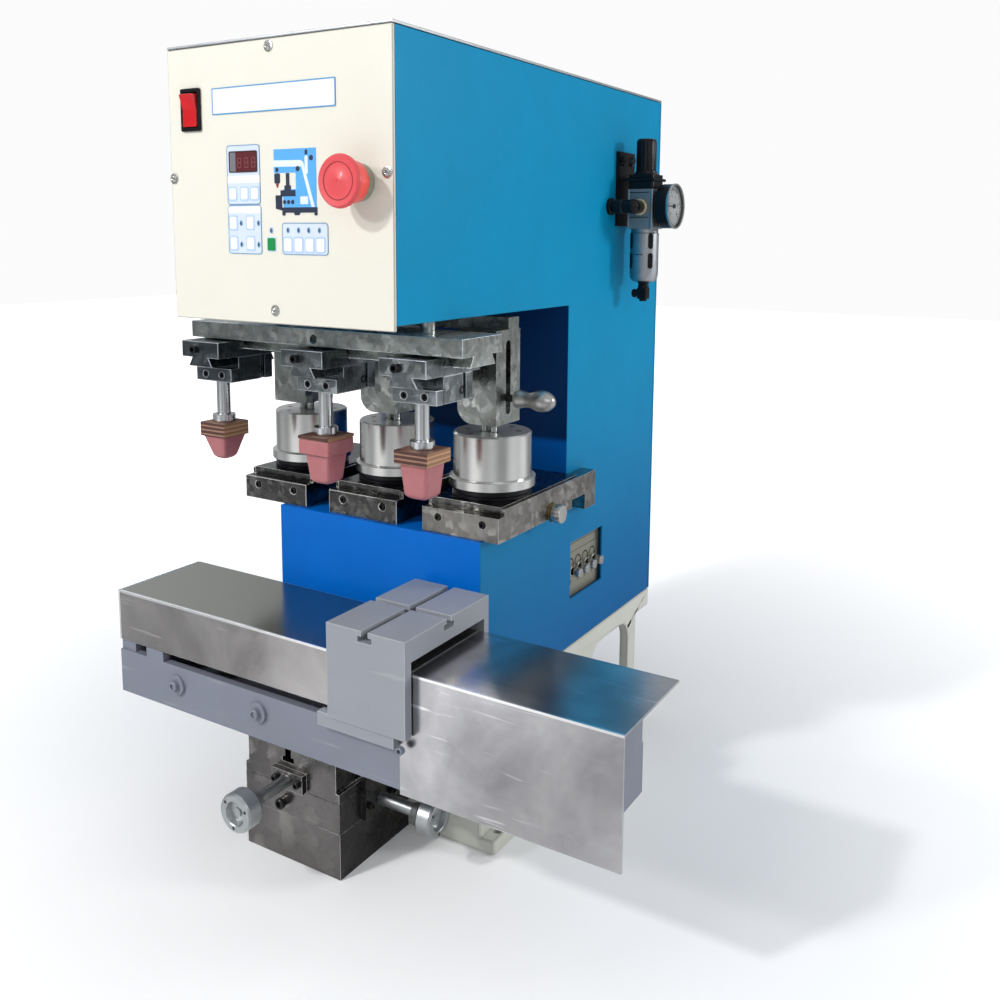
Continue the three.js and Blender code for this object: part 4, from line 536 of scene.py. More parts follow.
def make_finish(key):
    if key in FILMS:
        return film(*FILMS[key])
    if key in METALS:
        name, colour, patch, roughness, values = METALS[key]
        return metal(name, colour, patch, roughness=roughness, **values)
    if key in SCRAPED:
        return scraped(*SCRAPED[key])
    paints = bpy.context.scene.pad_printer_colours
    makers = {
        # The column's blue is painted front light, and a fifth of it is the painted shade in the throat.
        "blue": lambda: cabinet_paint("Blue cabinet paint", paints.cabinet, paints.column, dim(paints.column, 0.22)),
        "cream": lambda: paint("Cream panel paint", paints.panel, dim(paints.panel, 0.95), roughness=0.55, scuffs=0.04,
                               coat=0.0),
        "cream_edge": lambda: paint("Cream panel edge", dim(paints.panel, 0.6), (0.3, 0.3, 0.27)),
        "casting": lambda: paint("Casting paint", paints.casting, dim(paints.casting, 0.82), roughness=0.5, peel=0.45,
                                 scuffs=0.3, coat=0.1),
        "casting_edge": lambda: paint("Casting edge", dim(paints.casting, 0.85), (0.4, 0.4, 0.36)),
        "grey": lambda: paint("Shuttle paint", paints.shuttle, dim(paints.shuttle, 0.88), roughness=0.42, peel=0.2,
                              scuffs=0.3, coat=0.1),
        "grey_edge": lambda: paint("Worn shuttle edge", [c * 0.8 + 0.24 for c in paints.shuttle], paints.shuttle),
        "table": lambda: paint("Table paint", paints.table, dim(paints.table, 0.9), roughness=0.4, peel=0.15,
                               scuffs=0.2, coat=0.1),
        "table_edge": lambda: paint("Worn table edge", [c * 0.7 + 0.28 for c in paints.table], paints.table),
        # Both covers get a painted highlight along their bend.
        "stainless": lambda: bend_highlight(
            cover_sheet("Stainless cover", (0.66, 0.65, 0.66), (0.36, 0.355, 0.37), roughness=0.22, scuffs=1.6,
                        patch_scale=13.0), "shuttle_cover_right"),
        # Painted reflection: the older cover's faces that look up are a dull yellowish grey.
        "stainless_old": lambda: bend_highlight(painted_light_faces(
            cover_sheet("Older stainless cover", (0.56, 0.54, 0.53), (0.30, 0.285, 0.275), roughness=0.18, scuffs=1.2,
                        patch_scale=12.0), "Z", (0.30, 0.305, 0.265)), "shuttle_cover_left"),
        "ground": lambda: satin_tops(scraped("Ground steel", (0.46, 0.49, 0.465), (0.92, 0.95, 0.90), 0.22, 0.6)),
        # Painted shade: the faces that look along +X are darkened.
        "pedestal": lambda: painted_light_faces(
            scraped("Pedestal steel", (0.20, 0.19, 0.185), (0.46, 0.44, 0.42), 0.24, 0.4, scale=60.0),
            "X", (0.03, 0.03, 0.03), share=0.75),
        # Painted shade: all faces but the plate's +X front, the sides of its recess, are dark blue.
        "valve_plate": lambda: painted_light_faces(
            paint("Valve plate", (0.25, 0.245, 0.195), (0.20, 0.196, 0.156), roughness=0.4, scuffs=0.2, metallic=0.2,
                  coat=0.0), "X", (0.006, 0.035, 0.09), towards=False),
        "alloy": lambda: even_metal("Cast alloy", (0.42, 0.45, 0.47), (0.32, 0.35, 0.38), 260.0, roughness=0.36,
                                    scuffs=0.3, stain=0.5),
        "wheel": lambda: even_metal("Wheel alloy", (0.50, 0.52, 0.52), (0.36, 0.375, 0.38), 260.0, roughness=0.36,
                                    scuffs=0.4, stain=0.6),
        "alloy_blue": lambda: paint("Filter body enamel", (0.16, 0.20, 0.22), (0.22, 0.26, 0.28), roughness=0.3,
                                    metallic=0.3, coat=0.3),
        "alloy_dark": lambda: paint("Filter side enamel", (0.055, 0.060, 0.062), (0.09, 0.10, 0.10), roughness=0.4,
                                    metallic=0.3),
        "collar": lambda: plastic("Collar moulding", (0.26, 0.26, 0.20)),
        "black": lambda: plastic("Black moulding", (0.004, 0.004, 0.006), roughness=0.3, shine=0.24),
        "black_oxide": lambda: plastic("Black oxide screws", (0.005, 0.005, 0.006), roughness=0.36, grain=0.3,
                                       shine=0.35),
        "red": lambda: plastic("Red moulding", paints.stop, grain=0.04, coat=0.15, lighter=1.1),
        "red_skirt": lambda: plastic("Bright red skirt", (0.86, 0.075, 0.055), roughness=0.3, grain=0.04, coat=0.4,
                                     lighter=1.05),
        # Dark red for the picture's tip, and for the stop button's ring groove, where it is painted shade.
        "red_groove": lambda: plastic("Red groove", (0.26, 0.010, 0.014), roughness=0.5, lighter=1.1),
        "rocker": lambda: plastic("Red rocker", (0.52, 0.008, 0.012), roughness=0.16, grain=0.03, coat=0.6),
        "tan": lambda: plastic("Tan ring", (0.52, 0.44, 0.28)),
        "ink": lambda: plastic("Dial ink", (0.008, 0.008, 0.010), roughness=0.5, shine=0.2),
        "silicone": lambda: silicone("Pink silicone", paints.pads),
        "plywood": lambda: plywood("Striped plywood"),
        "digits": lambda: glow("Display digits", (0.20, 0.05, 0.055), 0.05),
        "lens": lambda: glass("Gauge lens", (0.96, 0.97, 0.97)),
        "floor": lambda: floor_paint("Pale floor", (0.88, 0.88, 0.88)),
    }
    return makers[key]()


# Mesh tools. Each takes the mesh first, and then lengths in millimetres.

def smooth_group():
    """Modifier group that drops stored normals and shades smooth below an angle."""
    name = "Shade by angle"
    if name in bpy.data.node_groups:
        return bpy.data.node_groups[name]
    group = bpy.data.node_groups.new(name, "GeometryNodeTree")
    for way in ("INPUT", "OUTPUT"):
        group.interface.new_socket(name="Geometry", in_out=way, socket_type="NodeSocketGeometry")
    entry, exit_, drop, faces, edges, angle, small = (group.nodes.new(kind) for kind in (
        "NodeGroupInput", "NodeGroupOutput", "GeometryNodeRemoveAttribute", "GeometryNodeSetShadeSmooth",
        "GeometryNodeSetShadeSmooth", "GeometryNodeInputMeshEdgeAngle", "FunctionNodeCompare"))
    drop.inputs["Name"].default_value = "custom_normal"
    faces.domain, edges.domain = "FACE", "EDGE"
    small.data_type, small.operation = "FLOAT", "LESS_EQUAL"
    small.inputs[1].default_value = math.radians(SMOOTH_ANGLE)
    for source, target in (
            (entry.outputs[0], drop.inputs["Geometry"]), (drop.outputs[0], faces.inputs["Geometry"]),
            (faces.outputs[0], edges.inputs["Geometry"]), (angle.outputs["Unsigned Angle"], small.inputs[0]),
            (small.outputs[0], edges.inputs["Shade Smooth"]), (edges.outputs[0], exit_.inputs[0])):
        group.links.new(source, target)
    return group


def keep_faces_flat(obj):
    """Lets the large flat faces set the shading, so that only the rounded edges turn it."""
    flat = obj.modifiers.new("Flat faces", "WEIGHTED_NORMAL")
    flat.mode = "FACE_AREA_WITH_ANGLE"
    flat.weight = 75
    flat.keep_sharp = True


def round_edges(obj, width, segments, angle):
    rounded_ = obj.modifiers.new("Round edges", "BEVEL")
    rounded_.width = width
    rounded_.segments = segments
    rounded_.limit_method = "ANGLE"
    rounded_.angle_limit = math.radians(angle)
    return rounded_


def dress_node(name, main, edge=None, bevel=0.0006):
    """Gives a CAD node its finish, with rounded edges in the edge finish."""
    obj = NODES[name]
    obj.data.materials.clear()
    obj.data.materials.append(finish(main))
    obj.modifiers.new("Weld", "WELD").merge_threshold = WELD
    if bevel > 0:
        rounded_ = round_edges(obj, bevel, 2, 36)
        rounded_.use_clamp_overlap = True
        if edge:
            obj.data.materials.append(finish(edge))
            rounded_.material = 1
    obj.modifiers.new("Shade by angle", "NODES").node_group = smooth_group()
    keep_faces_flat(obj)


def close_piece(name, bm, key, body, slot, bevel=0.0, replaces=(), angle=SMOOTH_ANGLE, material=None):
    """Turns a mesh into a named piece that rides on its body."""
    bmesh.ops.remove_doubles(bm, verts=bm.verts, dist=MERGE)
    bmesh.ops.recalc_face_normals(bm, faces=bm.faces)
    mesh = bpy.data.meshes.new(name)
    bm.to_mesh(mesh)
    bm.free()
    mesh.polygons.foreach_set("use_smooth", [True] * len(mesh.polygons))
    mesh.set_sharp_from_angle(angle=math.radians(angle))
    obj = bpy.data.objects.new(name, mesh)
    bpy.context.scene.collection.objects.link(obj)
    obj.data.materials.append(material or finish(key))
    if bevel > 0:
        round_edges(obj, bevel, 3, 30)
        keep_faces_flat(obj)
    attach(obj, body)
    if replaces:
        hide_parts(*replaces)


def piece(name, key, body, slot, *parts, **options):
    """Builds a piece from parts, each of them a mesh tool with its values."""
    bm = bmesh.new()
    for tool, *values in parts:
        tool(bm, *values)
    close_piece(name, bm, key, body, slot, **options)


def panel_piece(name, key, *parts, **options):
    piece(name, key, "frame", "panel_cream", *parts, **options)


def black_piece(name, key, *parts, body="frame", **options):
    piece(name, key, body, "black_plastic", *parts, **options)


def box(bm, x0, x1, y0, y1, z0, z1):
    corners = [bm.verts.new(row(x, y, z)) for z in (z0, z1) for x, y in ((x0, y0), (x1, y0), (x1, y1), (x0, y1))]
    for face in ((0, 3, 2, 1), (4, 5, 6, 7), (0, 1, 5, 4), (1, 2, 6, 5), (2, 3, 7, 6), (3, 0, 4, 7)):
        bm.faces.new([corners[i] for i in face])


def axis_place(axis, a, b, along):
    """A point given across and along an axis."""
    return {"x": (along, a, b), "y": (a, along, b), "z": (a, b, along)}[axis]


def skin(bm, rings):
    """Faces between rings of vertices in their order. A ring of one vertex is a tip."""
    for first, second in zip(rings, rings[1:]):
        count = max(len(first), len(second))
        if count == 1:
            continue
        for i in range(count):
            j = (i + 1) % count
            if len(first) == 1:
                bm.faces.new((first[0], second[i], second[j]))
            elif len(second) == 1:
                bm.faces.new((first[i], first[j], second[0]))
            else:
                bm.faces.new((first[i], first[j], second[j], second[i]))


def slab(bm, bottom, top):
    """Closes two rings of vertices into a solid slab."""
    bm.faces.new(bottom)
    bm.faces.new(list(reversed(top)))
    for i in range(len(bottom)):
        j = (i + 1) % len(bottom)
        bm.faces.new((bottom[i], top[i], top[j], bottom[j]))


def lathe(bm, profile, axis, a, b, sides=64):
    """Turns (radius, along) points about an axis through (a, b). Radius zero closes on the axis."""
    rings = []
    for radius, along in profile:
        if radius == 0:
            rings.append([bm.verts.new(row(*axis_place(axis, a, b, along)))])
            continue
        turns = [2 * math.pi * i / sides for i in range(sides)]
        rings.append([bm.verts.new(row(*axis_place(axis, a + radius * math.cos(t), b + radius * math.sin(t), along)))
                      for t in turns])
    skin(bm, rings)


def prism(bm, outline, axis, low, high):
    """An outline across an axis, filled from low to high along it."""
    slab(bm, *([bm.verts.new(row(*axis_place(axis, u, v, at))) for u, v in outline] for at in (low, high)))


def rim(bm, outer, inner, axis, low, high):
    """A flat frame between two outlines of as many points."""
    rings = [[bm.verts.new(row(*axis_place(axis, u, v, at))) for u, v in line]
             for line, at in ((outer, low), (outer, high), (inner, high), (inner, low))]
    skin(bm, rings + rings[:1])


def rounded(u0, u1, v0, v1, radius, steps=6):
    points = []
    for cu, cv, start in ((u1 - radius, v0 + radius, -90), (u1 - radius, v1 - radius, 0),
                          (u0 + radius, v1 - radius, 90), (u0 + radius, v0 + radius, 180)):
        turns = [math.radians(start + 90 * i / steps) for i in range(steps + 1)]
        points += [(cu + radius * math.cos(t), cv + radius * math.sin(t)) for t in turns]
    return points


def sharp(u0, u1, v0, v1):
    return [(u0, v0), (u1, v0), (u1, v1), (u0, v1)]


def grown(sides, by):
    u0, u1, v0, v1 = sides
    return u0 - by, u1 + by, v0 - by, v1 + by


def circle(u, v, radius, steps=32):
    return [(u + radius * math.cos(2 * math.pi * i / steps), v + radius * math.sin(2 * math.pi * i / steps))
            for i in range(steps)]


def polar(u, v, radius, angle):
    return u + radius * math.cos(angle), v + radius * math.sin(angle)


def smooth_profile(points, steps):
    """More points along a smooth curve through the given ones."""
    result = []
    last = len(points) - 1
    for i in range(last):
        near = points[max(i - 1, 0)], points[i], points[i + 1], points[min(i + 2, last)]
        for k in range(steps):
            t = k / steps
            result.append(tuple(
                0.5 * (2 * b + (c - a) * t + (2 * a - 5 * b + 4 * c - d) * t * t + (3 * b - a - 3 * c + d) * t ** 3)
                for a, b, c, d in zip(*near)))
    return result + [points[last]]


def socket_head(bm, axis, a, b, seat, height, radius, outward, sides=32):
    """A socket cap head: a chamfered cylinder with a recess."""
    top = seat + outward * height
    chamfer = radius * 0.16
    floor = top - outward * height * 0.6
    lathe(bm, [(radius, seat), (radius, top - outward * chamfer), (radius - chamfer, top), (radius * 0.58, top),
               (radius * 0.55, floor), (0, floor)], axis, a, b, sides)


def dome_screw(bm, axis, a, b, seat, height, radius, outward):
    """A domed screw head whose recess is a small hollow."""
    top = seat + outward * height
    lathe(bm, [(radius, seat), (radius * 0.96, seat + outward * height * 0.3),
               (radius * 0.8, seat + outward * height * 0.7), (radius * 0.45, top),
               (radius * 0.3, top - outward * height * 0.1), (radius * 0.12, top - outward * height * 0.7),
               (0, top - outward * height * 0.7)], axis, a, b, 28)


def figure_bars(lit, u, v, width, height, thick, inset=0.0):
    """The bars of a seven-segment figure, given by opposite corners."""
    half = height / 2
    across, left, right = (u + inset, u + width - inset), (u, u + thick), (u + width - thick, u + width)
    upper, lower = (v + half, v + height - inset / 2), (v + inset / 2, v + half)
    bars = {"a": (*across, v + height - thick, v + height), "d": (*across, v, v + thick),
            "g": (*across, v + half - thick / 2, v + half + thick / 2), "f": (*left, *upper), "b": (*right, *upper),
            "e": (*left, *lower), "c": (*right, *lower)}
    return [bars[key] for key in lit]


# Properties

def length(name, description, default, low, high):
    return FloatProperty(name=name, description=description, default=default, min=low, max=high, unit="LENGTH")


def tint(name, description, default):
    return FloatVectorProperty(name=name, description=description, subtype="COLOR", default=default, min=0.0, max=1.0)


class PadPrinterSizes(bpy.types.PropertyGroup):
    edge_round: length("Edge rounding", "Radius of the rounded edges of machined pieces", 0.0008, 0.0, 0.003)
    sheet_round: length("Sheet bend", "Radius of the bends and edges of the cabinet's sheets", 0.0012, 0.0, 0.004)
    screw_radius: length("Panel screw radius", "Radius of the domed screws of the front panel", 0.0036, 0.001, 0.006)
    floor_size: length("Floor size", "Side of the pale floor", 14.0, 2.0, 30.0)


class PadPrinterColours(bpy.types.PropertyGroup):
    cabinet: tint("Cabinet", "Paint of the cabinet's sides", (0.0, 0.26, 0.49))
    # This blue is painted light: the cabinet's paint as it looks lit from the front, on the column's front and the
    # deck; the throat's painted shade is made from it.
    column: tint("Column", "Paint of the column's front, the deck and the throat", (0.0, 0.145, 0.60))
    panel: tint("Panel", "Paint of the front panel", (0.72, 0.70, 0.61))
    casting: tint("Casting", "Paint of the base casting", (0.60, 0.61, 0.545))
    shuttle: tint("Shuttle", "Paint of the rail", (0.19, 0.205, 0.255))
    table: tint("Table", "Paint of the table", (0.27, 0.285, 0.32))
    pads: tint("Pads", "Silicone of the pads", (0.42, 0.155, 0.165))
    stop: tint("Stop button", "Plastic of the stop button's face", (0.66, 0.065, 0.075))


# Operators

class PADPRINTER_OT_cabinet(bpy.types.Operator):
    """Finishes the base, the cabinet's sheets and the screws that hold the front panel"""
    bl_idname = "pad_printer.cabinet"
    bl_label = "Cabinet"

    def execute(self, context):
        sizes = context.scene.pad_printer_sizes
        dress_node("base_casting", "casting", "casting_edge", 0.0025)
        dress_node("cabinet_shell", "blue", None, sizes.sheet_round)
        dress_node("rear_cover", "blue", None, 0.0005)
        dress_node("front_panel", "cream", "cream_edge", 0.0009)
        dress_node("top_cover", "lid", None, 0.0006)
        radius = sizes.screw_radius * 1000
        washer = [(radius * 1.35, -0.1), (radius * 1.3, -0.7), (radius * 0.9, -0.9)]
        parts = []
        for x, z in ((-3, 742), (-121, 637), (119, 637), (-2, 524)):
            parts += [(lathe, washer, "y", x, z, 36), (dome_screw, "y", x, z, -0.6, 2.2, radius, -1)]
        piece("front_panel_screws", "screw", "frame", "bright_steel", *parts)
        return {"FINISHED"}


def key_group(name, sides, keys, lamps=()):
    """A printed overlay with its outline, key tops and small lamps. Keys are given by opposite corners."""
    panel_piece(name + "_film", "film_pale", (prism, rounded(*sides, 3.0), "y", -0.35, SKIN))
    panel_piece(name + "_outline", "film_line",
                (rim, rounded(*grown(sides, 0.1), 3.0), rounded(*grown(sides, -0.7), 2.4), "y", -0.45, SKIN))
    panel_piece(name + "_surrounds", "key_shade",
                *((prism, rounded(*grown(key, 1.5), 2.0), "y", -0.45, -0.3) for key in keys))
    panel_piece(name + "_keys", "key_white", *((prism, rounded(*key, 1.3), "y", -0.85, -0.4) for key in keys),
                bevel=0.0002)
    if lamps:
        add_lamps(name, lamps)


def add_lamps(name, lamps):
    """Small oval lamps: a pale rim around a dark lens."""
    def oval(x, z, wide, tall):
        turns = [math.radians(15 * k) for k in range(24)]
        return [(x + wide * math.cos(t), z + tall * math.sin(t)) for t in turns]
    panel_piece(name + "_lamp_rims", "lamp_rim", *((prism, oval(x, z, 1.7, 2.5), "y", -0.7, -0.3) for x, z in lamps),
                bevel=0.0001)
    black_piece(name + "_lamps", "lamp_dark", *((prism, oval(x, z, 0.95, 1.6), "y", -0.9, -0.5) for x, z in lamps),
                bevel=0.0001)


class PADPRINTER_OT_controls(bpy.types.Operator):
    """Adds the switch, the stop button, the key films, the display and the bare plates of the front panel"""
    bl_idname = "pad_printer.controls"
    bl_label = "Controls"

    def execute(self, context):
        dress_node("rocker_bezel", "black", None, 0.0005)
        dress_node("power_rocker", "rocker", None, 0.0012)
        panel_piece("name_plate", "plate_white", (prism, rounded(-70, 68, 690, 712, 0.6), "y", -0.5, SKIN),
                    bevel=0.0001)
        panel_piece("name_plate_border", "plate_line",
                    (rim, rounded(-70.3, 68.3, 689.7, 712.3, 0.8), rounded(-69.2, 67.2, 690.8, 711.2, 0.5), "y",
                     -0.6, SKIN))
        key_group("display_keys", (-54.6, -16.0, 613.4, 663.4),
                  [(-52.1, -44.4, 617.8, 627.2), (-38.3, -30.6, 617.8, 627.2), (-26.4, -18.7, 617.8, 627.2)])
        key_group("function_keys", (-54.8, -15.6, 571.4, 613.0),
                  [(-52.3, -44.6, 592.8, 602.8), (-32.3, -24.6, 593.0, 603.0), (-52.1, -44.4, 575.4, 585.4),
                   (-32.4, -24.6, 575.4, 585.4)],
                  [(-39.3, 597.6), (-18.9, 597.6), (-39.3, 579.5), (-19.1, 579.5)])
        key_group("mode_keys", (7.9, 58.2, 571.6, 597.9),
                  [(10.2, 18.4, 574.5, 585), (22.2, 30.2, 574.5, 585), (34.2, 42.4, 574.5, 585),
                   (46.0, 54.2, 574.5, 585)],
                  [(14.7, 591.8), (26.4, 591.8), (37.5, 591.8), (49.1, 591.8)])
        black_piece("display_surround", "display_bezel",
                    (rim, rounded(-51.8, -18.6, 640.4, 658.4, 1.6), rounded(-50.9, -19.5, 641.3, 657.5, 0.9), "y",
                     -0.9, -0.3))
        black_piece("display_side_strip", "display_side", (prism, sharp(-51.0, -44.0, 641.2, 657.6), "y", -0.6, -0.3))
        black_piece("display_window", "display", (prism, sharp(-44.0, -19.4, 641.2, 657.6), "y", -0.6, -0.3))
        panel_piece("label_strips", "label", (prism, rounded(-54.0, -16.4, 631.6, 637.7, 0.5), "y", -0.5, -0.3),
                    (prism, rounded(-54.2, -16.2, 606.1, 611.7, 0.5), "y", -0.5, -0.3))
        width = 4.4
        piece("display_digits", "digits", "frame", "red_plastic",
              *((box, x0, x1, -0.68, -0.58, z0, z1) for i in range(3) for x0, x1, z0, z1 in
                figure_bars("abcdefg", -41.6 + i * 8.2, 644.2, width, 8.6, width * 0.16, width * 0.16)))
        panel_piece("start_surround", "film_pale", (prism, rounded(-10.0, 1.1, 573.6, 586.4, 1.6), "y", -0.3, SKIN),
                    (prism, rounded(-6.6, -2.2, 588.6, 594.4, 1.8), "y", -0.3, SKIN))
        panel_piece("start_key", "green_key", (prism, rounded(-8.9, 0.0, 574.7, 585.3, 1.2), "y", -0.9, -0.25),
                    bevel=0.0002)
        add_lamps("start", [(-4.4, 591.5)])
        self.picture()
        self.stop_button()
        return {"FINISHED"}

    def picture(self):
        """A plain picture film with a generic outline of a bench machine."""
        piece("picture_film", "sticker", "frame", "cabinet_blue",
              (prism, [(0, 639), (24.2, 639), (24.2, 625.5), (10, 625.5), (10, 610.4), (46.4, 610.4), (46.4, 658.3),
                       (0, 658.3)], "y", -0.3, SKIN))
        dots = ((11.4, 615, 1.8), (15.9, 615, 1.8), (20.4, 615, 1.8), (26.6, 642, 2.2), (3.6, 641.6, 1.8),
                (41.3, 650.4, 2.2))
        black_piece("picture_shapes", "sticker_dark",
                    (prism, [(8.7, 610.6), (8.7, 604), (12, 604), (12, 606.3), (21.5, 606.3), (22.5, 604.2),
                             (27.5, 604.2), (28.5, 606.3), (44, 606.3), (44, 604), (47.1, 604), (47.1, 610.6)],
                     "y", -0.45, SKIN),
                    (prism, [(7, 619.7), (23.8, 619.7), (23.8, 624.7), (18.6, 624.7), (18.6, 628.6), (17.0, 628.6),
                             (17.0, 638.6), (13.4, 638.6), (13.4, 628.6), (11.6, 628.6), (11.6, 624.7), (7, 624.7)],
                     "y", -0.45, SKIN),
                    (prism, rounded(0.4, 6.6, 630.4, 638.6, 1.2), "y", -0.45, SKIN),
                    (prism, [(1.4, 609.6), (8.4, 608.2), (8.4, 620.6), (1.4, 620.6)], "y", -0.45, SKIN),
                    *((prism, circle(*dot, 20), "y", -0.45, -0.2) for dot in dots),
                    (prism, rounded(34.6, 37.4, 653, 657, 0.8), "y", -0.45, -0.2))
        panel_piece("picture_band", "sticker_pale",
                    (prism, [(0, 644.1), (30, 643.7), (30, 648.9), (0, 649.3)], "y", -0.42, -0.2),
                    (prism, [(29.0, 648.8), (32.6, 647.5), (44.5, 610.9), (41.1, 610.9)], "y", -0.41, -0.2),
                    (prism, rounded(28.9, 37.4, 613.2, 619.4, 0.5), "y", -0.42, -0.2),
                    (prism, rounded(34.4, 37.6, 637.5, 652.4, 1.2), "y", -0.42, -0.2))
        piece("picture_tip", "red_groove", "frame", "red_plastic",
              (prism, [(2.2, 630.3), (5.0, 630.3), (4.2, 627), (3.0, 627)], "y", -0.45, SKIN))

    def stop_button(self):
        place = ("y", 91.7, 629.5)
        head = [(0, -26.1), (1.2, -26.1), (1.7, -26.6), (2.2, -26.2), (14.0, -26.3), (19.0, -26.9), (20.3, -26.0),
                (20.9, -24.8), (21, -23.9), (20.7, -22.7), (19.6, -22.0), (16.8, -21.9), (16.8, -19.2), (7, -18.6),
                (7, 19), (0, 19)]
        skirt = [(16.9, -22.1), (17.0, -20.8), (16.7, -8.9), (16.4, -8.6), (15.6, -8.6), (15.4, -18.7),
                 (16.0, -22.1), (16.9, -22.1)]
        collar = [(7.3, -12), (13.4, -12), (14.2, -11.6), (15, -9.2), (15, -0.3), (11, -0.3), (11, 24), (7.3, 24),
                  (7.3, -12)]
        piece("stop_mushroom", "red", "emergency_button", "red_plastic", (lathe, head, *place, 96),
              replaces=("estop_button",), angle=40)
        piece("stop_skirt", "red_skirt", "emergency_button", "red_plastic", (lathe, skirt, *place, 96))
        # A dark red ring on the mushroom's face: painted shade in its ring groove.
        piece("stop_groove", "red_groove", "emergency_button", "red_plastic",
              (rim, circle(*place[1:], 14.9, 72), circle(*place[1:], 14.1, 72), "y", -26.55, -26.1))
        piece("stop_collar", "collar", "frame", "alloy", (lathe, collar, *place, 72), replaces=("estop_collar",))


def window(bm, x, y, turn, z0, z1, wide):
    """A dark slot with round ends let into the bowl guard's round wall."""
    centre, half = (z0 + z1) / 2, (z1 - z0) / 2
    end = min(half, wide * 16)
    turns = [2 * math.pi * (i + 0.5) / 32 for i in range(32)]
    points = [(wide * math.cos(t), math.copysign(half - end, math.sin(t)) + end * math.sin(t)) for t in turns]
    slab(bm, *([bm.verts.new(row(*polar(x, y, radius, turn + p), centre + q)) for p, q in points]
               for radius in (16.5, 15.2)))


def tick(bm, y, z, angle, inner, outer, width):
    """A line of the gauge's scale."""
    c, s = math.cos(angle), math.sin(angle)
    corners = [(inner, -width / 2), (outer, -width / 2), (outer, width / 2), (inner, width / 2)]
    prism(bm, [(y + r * c - w * s, z + r * s + w * c) for r, w in corners], "x", *DIAL_PRINT)


def fluted_grip(bm, x, y):
    """The regulator's knob with its flutes."""
    sides, flutes = 96, 16
    rings = []
    for radius, z, fluted in ((10.9, 661.3, 0), (11.2, 662, 0.6), (11.2, 692, 0.6), (10.4, 695, 0), (8.8, 696, 0)):
        turns = [2 * math.pi * i / sides for i in range(sides)]
        rings.append([bm.verts.new(row(*polar(x, y, radius - fluted * max(0.0, math.cos(t * flutes)), t), z))
                      for t in turns])
    skin(bm, rings)
    bm.faces.new(list(reversed(rings[0])))
    bm.faces.new(rings[-1])


